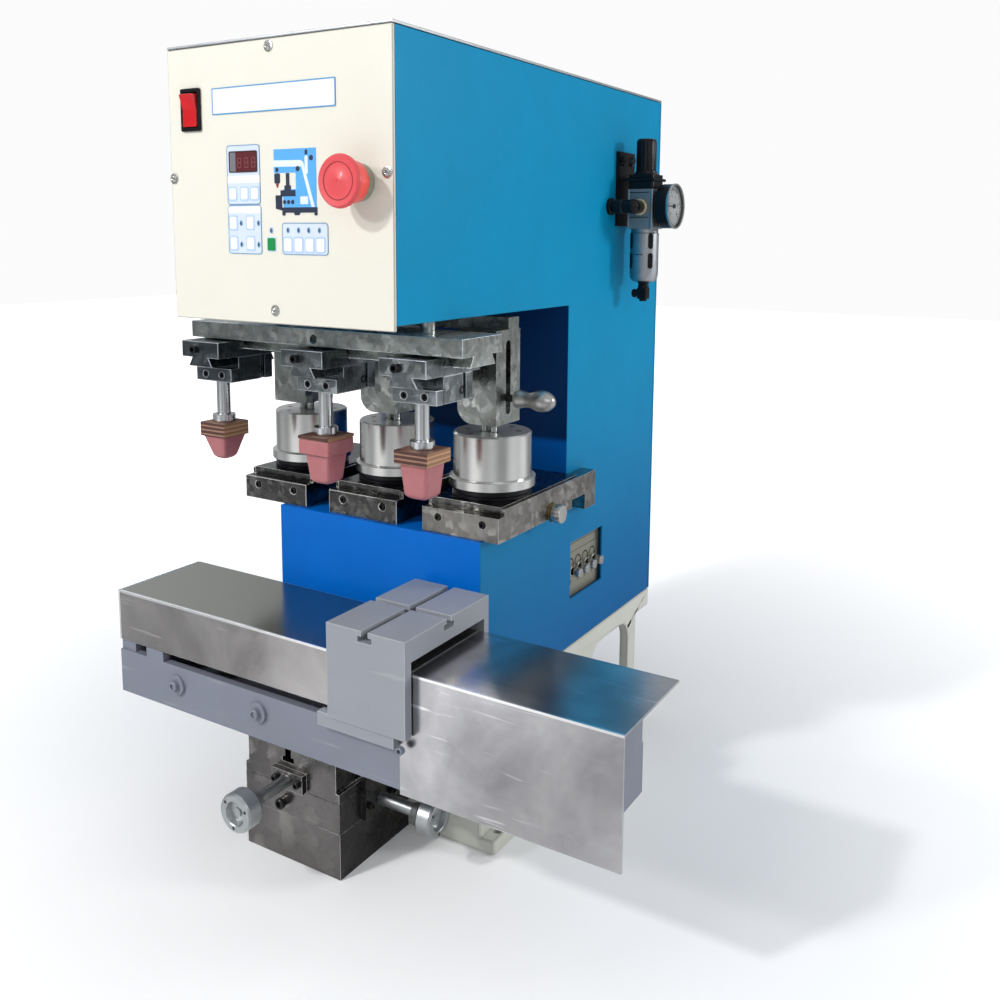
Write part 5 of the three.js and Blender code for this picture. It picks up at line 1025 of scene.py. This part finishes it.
class PADPRINTER_OT_air_unit(bpy.types.Operator):
    """Adds the filter and regulator, its knob, the gauge with its dial and the speed valves"""
    bl_idname = "pad_printer.air_unit"
    bl_label = "Air unit"

    def execute(self, context):
        x, y = 152, 424
        dress_node("air_bracket", "black", None, 0.0004)
        black_piece("bracket_screws", "black_oxide",
                    *((dome_screw, "x", y + side, 671, 128.2, 3.2, 4.6, 1) for side in (-11, 11)))
        self.filter(x, y)
        self.bowl(x, y)
        black_piece("regulator_grip", "black", (fluted_grip, x, y), body="regulator_dial",
                    replaces=("regulator_knob",), angle=50)
        self.gauge(y, 622)
        self.valves()
        return {"FINISHED"}

    def filter(self, x, y):
        def alloy_piece(name, key, *parts, bevel=0.0005):
            piece(name, key, "frame", "alloy", *parts, bevel=bevel)
        alloy_piece("filter_housing", "alloy_blue",
                    (prism, rounded(x - 15.4, x + 15.4, y - 15.4, y + 15.4, 3.2), "z", 597, 641), bevel=0.0012)
        alloy_piece("filter_side_plate", "alloy_dark",
                    (prism, rounded(x + 13.0, x + 15.7, y - 10.6, y + 10.6, 1.0), "z", 599, 638),
                    (lathe, [(5.0, x + 15), (8.2, x + 15), (8.2, x + 18.6), (5.0, x + 18.6), (5.0, x + 15)],
                     "x", y, 622, 6))
        strips = ((x + 11.2, x + 15.65, y - 15.65, y - 11.2, 1.6), (x - 15.65, x - 12.6, y - 15.65, y - 12.6, 1.2),
                  (x + 11.2, x + 15.65, y + 11.2, y + 15.65, 1.6))
        alloy_piece("filter_corner_strips", "alloy", *((prism, rounded(*strip), "z", 597.5, 640.6) for strip in strips))
        # Dark lines across the front: painted shade in the body's two grooves.
        black_piece("filter_grooves", "ink",
                    *((prism, sharp(x - 12.4, x + 11.0, y - 15.62, y - 15.2), "z", z, z + 0.9) for z in (609.4, 636.6)))
        plate = rounded(x - 14.9, x + 14.9, y - 14.9, y + 14.9, 3.0)
        neck = [(0, 640), (13.6, 640), (13.6, 657.5), (12.2, 658.6), (11.8, 661), (0, 661)]
        black_piece("filter_bonnet", "black", (prism, plate, "z", 640.8, 649.3), (prism, plate, "z", 652.9, 656.7),
                    (lathe, neck, "z", x, y, 72),
                    *((socket_head, "z", *polar(x, y, 12.2, angle), 656.7, 1.6, 1.9, 1, 20)
                      for angle in (-0.6, 0.9, 2.4, 3.9)), bevel=0.0004)

    def bowl(self, x, y):
        piece("bowl_guard", "alloy", "frame", "alloy",
              (lathe, [(0, 538), (11, 538), (13.6, 539.4), (15.4, 543), (16, 548), (16, 592), (15.2, 593),
                       (15.2, 598), (0, 598)], "z", x, y, 72))
        black_piece("bowl_windows", "black",
                    *((window, x, y, turn, z0, z1, 0.18) for turn in (-0.72, 0.85, 2.42, -2.29)
                      for z0, z1 in ((575, 592.5), (553, 570.5))), (window, x, y, -1.55, 568.0, 569.2, 0.33))
        black_piece("drain_cock", "black",
                    (lathe, [(0, 530), (4.6, 530), (6.2, 531), (6.2, 534), (5.2, 535), (6.6, 536), (6.6, 538.5),
                             (0, 538.5)], "z", x, y, 40),
                    (prism, rounded(x - 5.6, x + 5.6, y - 5.6, y + 5.6, 1.2), "z", 518.6, 531),
                    (lathe, [(0, x - 13), (3.8, x - 13), (4.8, x - 12), (4.8, x - 8.5), (4.0, x - 8), (4.0, x),
                             (0, x)], "x", y, 524.6, 32),
                    (lathe, [(0, 516), (4.0, 516), (4.4, 516.6), (4.4, 519), (0, 519)], "z", x, y, 32),
                    angle=40, bevel=0.0003)
        ring, elbow, port = y - 15.5, y - 36, 621
        black_piece("elbow_ring", "tan",
                    (lathe, [(6.4, ring), (8.9, ring), (9.1, ring - 0.8), (8.6, ring - 2.4), (6.4, ring - 2.4),
                             (6.4, ring)], "y", x, port, 48), bevel=0.0003)
        dome = [(8.0 * math.cos(math.radians(15 * k)), elbow - 7.4 * math.sin(math.radians(15 * k))) for k in range(6)]
        black_piece("inlet_elbow", "black",
                    (lathe, [(0, ring), (7.0, ring), (7.0, elbow + 9), (7.9, elbow + 7), (8.0, elbow + 3), *dome,
                             (0, elbow - 7.4)], "y", x, port, 48),
                    (lathe, [(0, 125.4), (9.4, 125.4), (9.4, 128.6), (8.6, 129.3), (7.0, 129.4), (7.0, 133),
                             (8.4, 134), (8.4, 141), (7.4, 142), (7.4, 150), (0, 150)], "x", elbow, port, 48),
                    replaces=("air_filter_body",), angle=40)

    def gauge(self, y, z):
        place = ("x", y, z, 96)
        black_piece("gauge_drum", "black",
                    (lathe, [(0, 167.8), (6, 167.8), (6, 171), (21, 171), (23.4, 172.5), (24.2, 175), (24.2, 185.6),
                             (24.5, 186), (24.5, 188.4), (24, 189), (22.4, 189), (21.8, 188), (21.8, 185), (0, 185)],
                     *place), replaces=("gauge_case",))
        piece("gauge_rim", "screw", "frame", "bright_steel",
              (lathe, [(24.55, 186.2), (24.7, 186.6), (24.7, 188.8), (24.2, 189.3), (22.5, 189.3), (22.2, 188.6),
                       (22.2, 188), (24.2, 187.8), (24.55, 186.2)], *place))
        panel_piece("gauge_dial", "dial", (lathe, [(0, 185.02), (21.7, 185.02), (21.7, 185.25), (0, 185.25)], *place))
        marks = []
        for i in range(51):
            inner, width = (14.8, 0.8) if i % 10 == 0 else (17.0, 0.3)
            marks.append((tick, y, z, math.radians(225 - 270 * i / 50), inner, 19.6, width))
        low, high = DIAL_PRINT
        black_piece("gauge_marks", "ink", *marks,
                    (lathe, [(19.7, low), (19.7, high), (20.0, high), (20.0, low)], *place))
        figures = [(lit, 270 * i / 5, 0.0) for i, lit in enumerate(("abcdef", "abged", "fgbc", "afgedc", "abcdefg"))]
        figures += [("bc", 270, -1.4), ("abcdef", 270, 1.4)]
        width, height, thick = 2.0, 3.2, 0.42
        bars = []
        for lit, turn, shift in figures:
            u, v = polar(y, z, 11.6, math.radians(225 - turn))
            bars += figure_bars(lit, u + shift - width / 2, v - height / 2, width, height, thick)
        black_piece("gauge_figures", "ink", *((box, *DIAL_PRINT, *bar) for bar in bars))
        piece("gauge_lens", "lens", "frame", "bright_steel",
              (lathe, [(0, 188.0), (22.1, 188.0), (22.1, 188.7), (0, 188.9)], *place))
        dress_node("gauge_needle", "ink", None, 0.0)

    def valves(self):
        dress_node("valve_panel", "valve_plate", None, 0.0003)
        face, arc, arrows = 118.0, 229, []
        for i in range(4):
            y = 321 + 17.5 * i
            body = f"valve_{i + 1}"
            place = ("x", y, 222)
            piece(f"valve_screw_{i + 1}", "screw", body, "bright_steel",
                  (lathe, [(2.5, 116), (2.5, 118.3), (5.8, 118.3), (5.8, 120.6), (5.3, 121.0), (2.6, 121.0),
                           (2.6, 124.2), (5.0, 124.2), (5.4, 124.8), (5.4, 130.4), (4.9, 131.4), (0, 131.6)],
                   *place, 48), replaces=(f"valve_knob_{i + 1}",))
            black_piece(f"valve_neck_{i + 1}", "black_oxide",
                        (lathe, [(2.7, 121.1), (4.4, 121.1), (4.4, 124.1), (2.7, 124.1), (2.7, 121.1)], *place, 24),
                        body=body)
            turns = [math.radians(205 - 215 * k / 14) for k in range(15)]
            u, v = polar(y, arc, 6.7, turns[-1])
            arrows += [[polar(y, arc, 7.4, t) for t in turns] + [polar(y, arc, 6.0, t) for t in reversed(turns)],
                       [(u - 2.2, v + 0.8), (u + 2.2, v + 1.2), (u - 0.4, v - 3.0)],
                       [(y - 0.4, 206), (y + 0.4, 206), (y + 0.4, 210), (y + 1.2, 210), (y, 212), (y - 1.2, 210),
                        (y - 0.4, 210)]]
        black_piece("valve_arrows", "ink", *((prism, arrow, "x", face, face + 0.12) for arrow in arrows))
        piece("valve_header", "dark", "frame", "dark_steel",
              (rim, rounded(312, 382, 242.5, 252.5, 0.8), rounded(312.6, 381.4, 243.1, 251.9, 0.5), "x",
               face, face + 0.15))


class PADPRINTER_OT_cups(bpy.types.Operator):
    """Finishes the trays, plates, ink cups, brackets and clamp handles"""
    bl_idname = "pad_printer.cups"
    bl_label = "Cups and trays"

    def execute(self, context):
        edge = context.scene.pad_printer_sizes.edge_round
        dress_node("cup_bracket_bar", "bracket", "ground_edge", edge)
        for name in ("head_guide_rail", "cup_drive_1", "cup_drive_2", "cup_drive_3"):
            dress_node(name, "ground", "ground_edge", edge)
        dress_node("head_carriage", "grey", "grey_edge", edge)
        for n, x, steel in zip((1, 2, 3), STATIONS, ("dark", "dark", "tray_warm")):
            dress_node(f"cliche_tray_{n}", steel, "dark_edge", edge)
            dress_node(f"cliche_plate_{n}", "dark", "dark_edge", 0.0003)
            self.cup(n, x)
            self.handle(n, x)
            black_piece(f"tray_screws_{n}", "black_oxide",
                        *((socket_head, "y", x + side, 322.9, 132.6, 3.4, 3.4, -1) for side in (-25, 25)))
        piece("tray_knob_turned", "screw", "tray_knob", "bright_steel",
              (lathe, [(0, 134), (4.7, 134), (4.7, 142.3), (9.5, 144.8), (9.5, 153.2), (8.9, 154.1), (3.0, 154.3),
                       (0, 154.2)], "x", 233, 313, 64), replaces=("tray_clamp_knob",))
        piece("tray_knob_washer", "brass", "tray_knob", "bright_steel",
              (lathe, [(4.8, 142.3), (9.9, 142.3), (9.9, 143.9), (4.8, 143.9), (4.8, 142.3)], "x", 233, 313, 64))
        return {"FINISHED"}

    def cup(self, n, x):
        bottom, depth = 339.4, 188
        top = bottom + 61
        steel = lathe_metal(f"Turned cup {n}", (0.62, 0.62, 0.60), row(x, depth, 370), "z", 0.22, 0.02)
        satin_tops(steel, 0.45)
        wall = [(32.5, bottom + 8.5), (42, bottom + 8.5), (42.5, bottom + 9), (42.5, bottom + 17), (42, bottom + 17.5),
                (38.5, bottom + 17.5), (38.5, top - 1.5), (37, top), (0, top), (0, top - 9), (32.5, top - 12),
                (32.5, bottom + 8.5)]
        seal = [(32.5, bottom), (39.5, bottom), (39.5, bottom + 2.4), (38.2, bottom + 3.4), (38.2, bottom + 5),
                (39.4, bottom + 5.6), (39.4, bottom + 7.6), (38.4, bottom + 8.4), (32.5, bottom + 8.4), (32.5, bottom)]
        piece(f"cup_body_{n}", None, "carriage", "bright_steel", (lathe, wall, "z", x, depth, 128),
              replaces=(f"ink_cup_{n}",), material=steel.material)
        black_piece(f"cup_seal_{n}", "black", (lathe, seal, "z", x, depth, 128), body="carriage")
        hole = [(2.6, top + 0.02), (2.6, top + 0.1), (0, top + 0.1)]
        places = ((-24, -8), (24, 10), (6, 26), (-8, -27))
        # Dark discs on the cup's top stand in for its holes: painted shade.
        black_piece(f"cup_holes_{n}", "black_oxide",
                    *((lathe, hole, "z", x + dx, depth + dy, 28) for dx, dy in places),
                    *((rim, circle(x + dx, 180, 5.0), circle(x + dx, 180, 4.3), "z", top, top + 0.15)
                      for dx in (-4, 6)), body="carriage")

    def handle(self, n, x):
        start, grip = x + 13.2, x + 38
        depth, height = 168.5, 437.5
        steel = lathe_metal(f"Turned handle {n}", (0.46, 0.46, 0.44), row(x + 60, depth, height), "x", 0.34, 0.06,
                            500.0)
        shape = smooth_profile([(7.6, grip), (8.8, grip + 1.6), (8.6, grip + 4.9), (7.6, grip + 9.2),
                                (7.15, grip + 13.1), (7.8, grip + 17.6), (9.3, grip + 22.1), (10.05, grip + 27.9),
                                (8.9, grip + 34.0), (5.2, grip + 39.2), (2.4, grip + 40.8)], 4)
        piece(f"handle_grip_{n}", None, f"handle_{n}", "bright_steel",
              (lathe, [(0, grip), (3.6, grip)] + shape + [(0, grip + 41)], "x", depth, height, 72),
              replaces=(f"clamp_handle_{n}",), material=steel.material, angle=60)
        black_piece(f"handle_stud_{n}", "black_oxide",
                    (lathe, [(0, start), (3.55, start), (3.55, grip + 0.2), (0, grip + 0.2)], "x", depth, height, 40),
                    body=f"handle_{n}", bevel=0.0002)


def square_pad(bm, x, y, levels, tip, sides=96):
    """A square pad of rounded rings, each with its reach, height and squareness, closed at its tip."""
    rings = []
    for reach, z, square in levels:
        ring = []
        for s in range(sides):
            angle = 2 * math.pi * s / sides
            c, d = math.cos(angle), math.sin(angle)
            r = reach / (abs(c) ** square + abs(d) ** square) ** (1 / square)
            ring.append(bm.verts.new(row(x + c * r, y + d * r, z)))
        rings.append(ring)
    skin(bm, rings)
    bm.faces.new(rings[0])
    skin(bm, [rings[-1], [bm.verts.new(row(x, y, tip))]])


class PADPRINTER_OT_pads(bpy.types.Operator):
    """Finishes the pad plate, the holders and their screws, and makes the boards and silicone pads"""
    bl_idname = "pad_printer.pads"
    bl_label = "Pads and holders"

    def execute(self, context):
        edge = context.scene.pad_printer_sizes.edge_round
        dress_node("pad_plate", "ground", "ground_edge", edge)
        for n, x, y, steel in zip((1, 2, 3), HOLDERS, REACHES, ("block", "block_pale", "block_pale")):
            dress_node(f"holder_block_{n}", steel, "block_edge", edge)
            dress_node(f"holder_slide_{n}", steel, "block_edge", edge)
            self.screws(n, x, y)
            self.spindle(n, x, y)
            self.board(n, x, y)
            self.pad(n, x, y)
        return {"FINISHED"}

    def screws(self, n, x, y):
        body, front, side = f"pad_reach_{n}", y - 12, x + 24
        black_piece(f"holder_screw_{n}", "black_oxide", (socket_head, "y", x - 5, 477, 48, 9.6, 4.1, -1),
                    body=f"pad_side_{n}")
        ends = (x - 11, x + 11)
        black_piece(f"clamp_screws_{n}", "black_oxide",
                    *((socket_head, "y", end, 450.75, front + 3.9, 3.5, 3.0, -1) for end in ends), body=body)
        # Rims round the clamp screws in the bright edge finish: painted highlights.
        piece(f"clamp_rims_{n}", "block_edge", body, "bright_steel",
              *((rim, circle(end, 450.75, 3.9), circle(end, 450.75, 3.35), "y", front - 0.08, front + 0.6)
                for end in ends))
        black_piece(f"clamp_seam_{n}", "ink", (box, side - 0.3, side + 0.06, front + 10.2, front + 10.8, 444.2, 457.3),
                    body=body)
        black_piece(f"side_screw_{n}", "black_oxide", (socket_head, "x", front + 38.5, 453.5, side - 0.6, 1.2, 3.9, 1),
                    body=body)

    def spindle(self, n, x, y):
        steel = lathe_metal(f"Turned spindle {n}", (0.60, 0.61, 0.62), row(x, y, 420), "z", 0.16, 0.05, 700.0)
        piece(f"spindle_sleeve_{n}", None, f"pad_reach_{n}", "bright_steel",
              (lathe, [(6.5, 443.9), (6.56, 443.9), (6.56, 410.2), (11.05, 410.2), (11.05, 403.4), (10.6, 403),
                       (0, 403)], "z", x, y, 72), material=steel.material)

    def board(self, n, x, y):
        half = (33, 37, 36)[n - 1] / 2
        piece(f"board_{n}", "plywood", f"pad_reach_{n}", "plywood",
              (prism, rounded(x - half, x + half, y - half, y + half, 0.6, 3), "z", BOARD_TOP - BOARD_THICK[n - 1],
               BOARD_TOP), bevel=0.0003, replaces=(f"pad_board_{n}",))

    def pad(self, n, x, y):
        """A square pad that narrows to a rounded tip, with soft corners. The second one hangs from a wider head."""
        top = BOARD_TOP - BOARD_THICK[n - 1] - 0.3
        head, tall, half, narrow = ((0, 24, 15, 0.62), (14, 30, 14.5, 0.82), (0, 33, 15, 0.84))[n - 1]
        tip, neck, bulge, steps = half * narrow, top - head, 5, 10
        levels = [(half, neck, 9.0)]
        for s in range(1, steps + 1):
            share = s / steps
            levels.append((half + (tip - half) * share, neck - (tall - bulge) * share, 9 - 3 * share))
        for share, width in ((0.22, 0.955), (0.45, 0.86), (0.66, 0.73), (0.8, 0.6), (0.92, 0.4), (0.985, 0.2)):
            levels.append((tip * width, neck - (tall - bulge) - bulge * share, 5.0))
        piece(f"pad_body_{n}", "silicone", f"pad_reach_{n}", "silicone", (square_pad, x, y, levels, neck - tall),
              replaces=(f"silicone_pad_{n}",), angle=70)
        if head:
            piece(f"pad_head_{n}", "silicone", f"pad_reach_{n}", "silicone",
                  (prism, rounded(x - 18.4, x + 18.4, y - 18.4, y + 18.4, 2.0), "z", neck, top), bevel=0.0012)


class PADPRINTER_OT_shuttle(bpy.types.Operator):
    """Finishes the shuttle's rail, covers and table, and the cross slides with their handwheels"""
    bl_idname = "pad_printer.shuttle"
    bl_label = "Shuttle and pedestal"

    def execute(self, context):
        edge = context.scene.pad_printer_sizes.edge_round
        dress_node("shuttle_rail", "grey", "grey_edge", edge)
        dress_node("shuttle_table", "table", "table_edge", 0.001)
        dress_node("shuttle_cover_left", "stainless_old", "stainless_edge", 0.002)
        dress_node("shuttle_cover_right", "stainless", "stainless_edge", 0.002)
        for name in ("pedestal_block", "cross_slide_x", "cross_slide_y"):
            dress_node(name, "pedestal", "dark_edge", edge)
        washer = [(10, -0.6), (10, -1.2), (9.6, -1.6), (5, -1.6)]
        bolts, sockets = [], []
        for x in (-144.6, -36.6):
            bolts += [(lathe, washer, "y", x, 152.6, 48), (socket_head, "y", x, 152.6, -1.5, 4.6, 4.9, -1)]
            sockets.append((prism, circle(x, 152.6, 2.6, 6), "y", -3.6, -3.2))
        piece("rail_bolts", "grey", "cross_y", "shuttle_grey", *bolts)
        # Dark hexagons on the recess floors: painted shade in the bolts' sockets.
        black_piece("rail_bolt_sockets", "ink", *sockets, body="cross_y")
        piece("strip_bolt", "grey", "shuttle", "shuttle_grey", (socket_head, "y", 133.5, 168, -6.5, 4.5, 3.5, -1))
        black_piece("bearing_screws_front", "black_oxide",
                    *((socket_head, "y", x, 83.5, 16, 4, 3.4, -1) for x in (-31.5, -4.5)), body="cross_y")
        black_piece("bearing_screws_side", "black_oxide",
                    *((socket_head, "x", y, 57.5, 46.5, 4, 3.4, 1) for y in (58, 90)),
                    (socket_head, "y", -27, 57.8, 17.6, 4, 5.2, -1), body="cross_x")
        self.wheel("y", -18, 84, 22, -1, 54, 84)
        self.wheel("x", 74, 57.5, 40.5, 1, 58, 85.5)
        return {"FINISHED"}

    def wheel(self, axis, a, b, start, out, reach, screw):
        """A handwheel with its shaft and feed screw, turned about an axis through (a, b)."""
        profile = [(0, -screw), (5, -screw), (5, 6.3), (6, 6.3), (6, reach - 13), (7.4, reach - 12), (9.6, reach - 3),
                   (12.6, reach - 2.4), (16.8, reach + 0.2), (18, reach + 2.2), (18, reach + 14.6),
                   (17, reach + 16.6), (16, reach + 17), (11.4, reach + 17), (10.8, reach + 16.4), (9.4, reach + 12),
                   (4.2, reach + 12), (3.8, reach + 13.6), (0, reach + 13.6)]
        piece(f"wheel_turned_{axis}", "wheel", f"wheel_{axis}", "alloy",
              (lathe, [(radius, start + out * along) for radius, along in profile], axis, a, b, 96),
              replaces=(f"handwheel_{axis}",), angle=20)
        face = start + out * (reach + 17)
        dot = [(1.6, face - out * 0.05), (1.6, face + out * 0.02), (0, face + out * 0.02)]
        black_piece(f"wheel_marks_{axis}", "black_oxide",
                    *((lathe, dot, axis, *polar(a, b, 13.8, 2 * math.pi * i / 3 + 0.4), 20) for i in range(3)),
                    body=f"wheel_{axis}")


class PADPRINTER_OT_stage(bpy.types.Operator):
    """Adds the pale floor, the studio lights and the camera"""
    bl_idname = "pad_printer.stage"
    bl_label = "Stage"

    def execute(self, context):
        half = context.scene.pad_printer_sizes.floor_size / 2
        bm = bmesh.new()
        bm.faces.new([bm.verts.new((x, y, -0.0005)) for x, y in sharp(-half, half, -half, half)])
        mesh = bpy.data.meshes.new("floor")
        bm.to_mesh(mesh)
        bm.free()
        floor = bpy.data.objects.new("floor", mesh)
        floor.data.materials.append(finish("floor"))
        context.scene.collection.objects.link(floor)
        self.studio(context)
        self.lamp("key_light", (-0.85, -2.2, 2.0), (0.0, 0.0, 0.45), 0.16, 31)
        self.lamp("low_light", (-1.05, -2.2, 1.43), (0.03, 0.15, 0.36), 0.2, 15)
        self.lamp("side_light", (2.3, 1.3, 1.1), (0.0, 0.1, 0.5), 0.4, 24)
        self.lamp("fill_light", (1.9, -1.6, 1.4), (0.0, 0.0, 0.35), 1.4, 9)
        self.camera(context)
        return {"FINISHED"}

    def studio(self, context):
        """Soft light that is brighter overhead, before a plain white backdrop."""
        world = bpy.data.worlds.new("Studio")
        world.use_nodes = True
        tree = world.node_tree
        tree.nodes.clear()
        nodes = {}
        add_nodes(tree, nodes, dict(
            output=node("OutputWorld"), place=node("TexCoord"), parts=node("SeparateXYZ"),
            height=spread(-0.05, 0.7, 0.3, 0.95), strips=node("Group", node_tree=shader_group("strips")),
            product=maths("MULTIPLY"), soft=node("Background", Color=(0.93, 0.96, 1.0, 1.0)),
            plain=node("Background", Color=(0.97, 0.97, 0.97, 1.0)), path=node("LightPath"), mix=node("MixShader")))
        join(tree, nodes,
             "place.Generated > parts.0; parts.Z > height.Value; place.Generated > strips.Direction;"
             "height.Result > product.0; strips.Value > product.1; product.0 > soft.Strength;"
             "path.Is Camera Ray > mix.0; soft.0 > mix.1; plain.0 > mix.2; mix.0 > output.Surface")
        context.scene.world = world
        context.scene.view_settings.view_transform = "Standard"

    def lamp(self, name, place, target, size, power):
        data = bpy.data.lights.new(name, "AREA")
        data.shape = "SQUARE"
        data.size = size
        data.energy = power
        lamp = bpy.data.objects.new(name, data)
        lamp.location = place
        lamp.rotation_euler = (Vector(target) - Vector(place)).to_track_quat("-Z", "Y").to_euler()
        bpy.context.scene.collection.objects.link(lamp)

    def camera(self, context):
        """The photograph's camera: its focal length and middle are in pixels of the 1000 pixel frame."""
        pixels, focal, middle = 1000, 995.84, (512.72, 369.06)
        data = bpy.data.cameras.new("photo_camera")
        data.sensor_width = 36.0
        data.lens = data.sensor_width * focal / pixels
        data.shift_x = -(middle[0] - pixels / 2) / pixels
        data.shift_y = (middle[1] - pixels / 2) / pixels
        data.clip_start = 0.01
        data.clip_end = 50.0
        camera = bpy.data.objects.new("photo_camera", data)
        right = Vector((0.85823, 0.51321, 0.00766))
        up = -Vector((0.07525, -0.11105, -0.99096))
        back = -Vector((-0.50772, 0.85105, -0.13393))
        turn = Matrix((right, up, back)).transposed()
        camera.matrix_world = Matrix.Translation(row(605.28, -623.37, 589.78)) @ turn.to_4x4()
        context.scene.collection.objects.link(camera)
        context.scene.camera = camera


class PADPRINTER_PT_panel(bpy.types.Panel):
    """Shows the machine's sizes, colours and a button for each step in the sidebar"""
    bl_idname = "PADPRINTER_PT_panel"
    bl_label = "Pad printing machine"
    bl_space_type = "VIEW_3D"
    bl_region_type = "UI"
    bl_category = "Pad Printer"

    def draw(self, context):
        layout = self.layout
        for settings in (context.scene.pad_printer_sizes, context.scene.pad_printer_colours):
            for prop in settings.bl_rna.properties:
                if prop.identifier not in {"rna_type", "name"}:
                    layout.prop(settings, prop.identifier)
        for operator in OPERATORS:
            layout.operator(operator.bl_idname)


OPERATORS = (PADPRINTER_OT_cabinet, PADPRINTER_OT_controls, PADPRINTER_OT_air_unit, PADPRINTER_OT_cups,
             PADPRINTER_OT_pads, PADPRINTER_OT_shuttle, PADPRINTER_OT_stage)
CLASSES = (PadPrinterSizes, PadPrinterColours, *OPERATORS, PADPRINTER_PT_panel)


def register():
    for cls in CLASSES:
        bpy.utils.register_class(cls)
    bpy.types.Scene.pad_printer_sizes = PointerProperty(type=PadPrinterSizes)
    bpy.types.Scene.pad_printer_colours = PointerProperty(type=PadPrinterColours)


def unregister():
    del bpy.types.Scene.pad_printer_colours
    del bpy.types.Scene.pad_printer_sizes
    for cls in reversed(CLASSES):
        bpy.utils.unregister_class(cls)


def main():
    register()
    bpy.ops.pad_printer.cabinet()
    bpy.ops.pad_printer.controls()
    bpy.ops.pad_printer.air_unit()
    bpy.ops.pad_printer.cups()
    bpy.ops.pad_printer.pads()
    bpy.ops.pad_printer.shuttle()
    bpy.ops.pad_printer.stage()
    bpy.context.view_layer.update()
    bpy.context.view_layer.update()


if __name__ == "__main__":
    main()
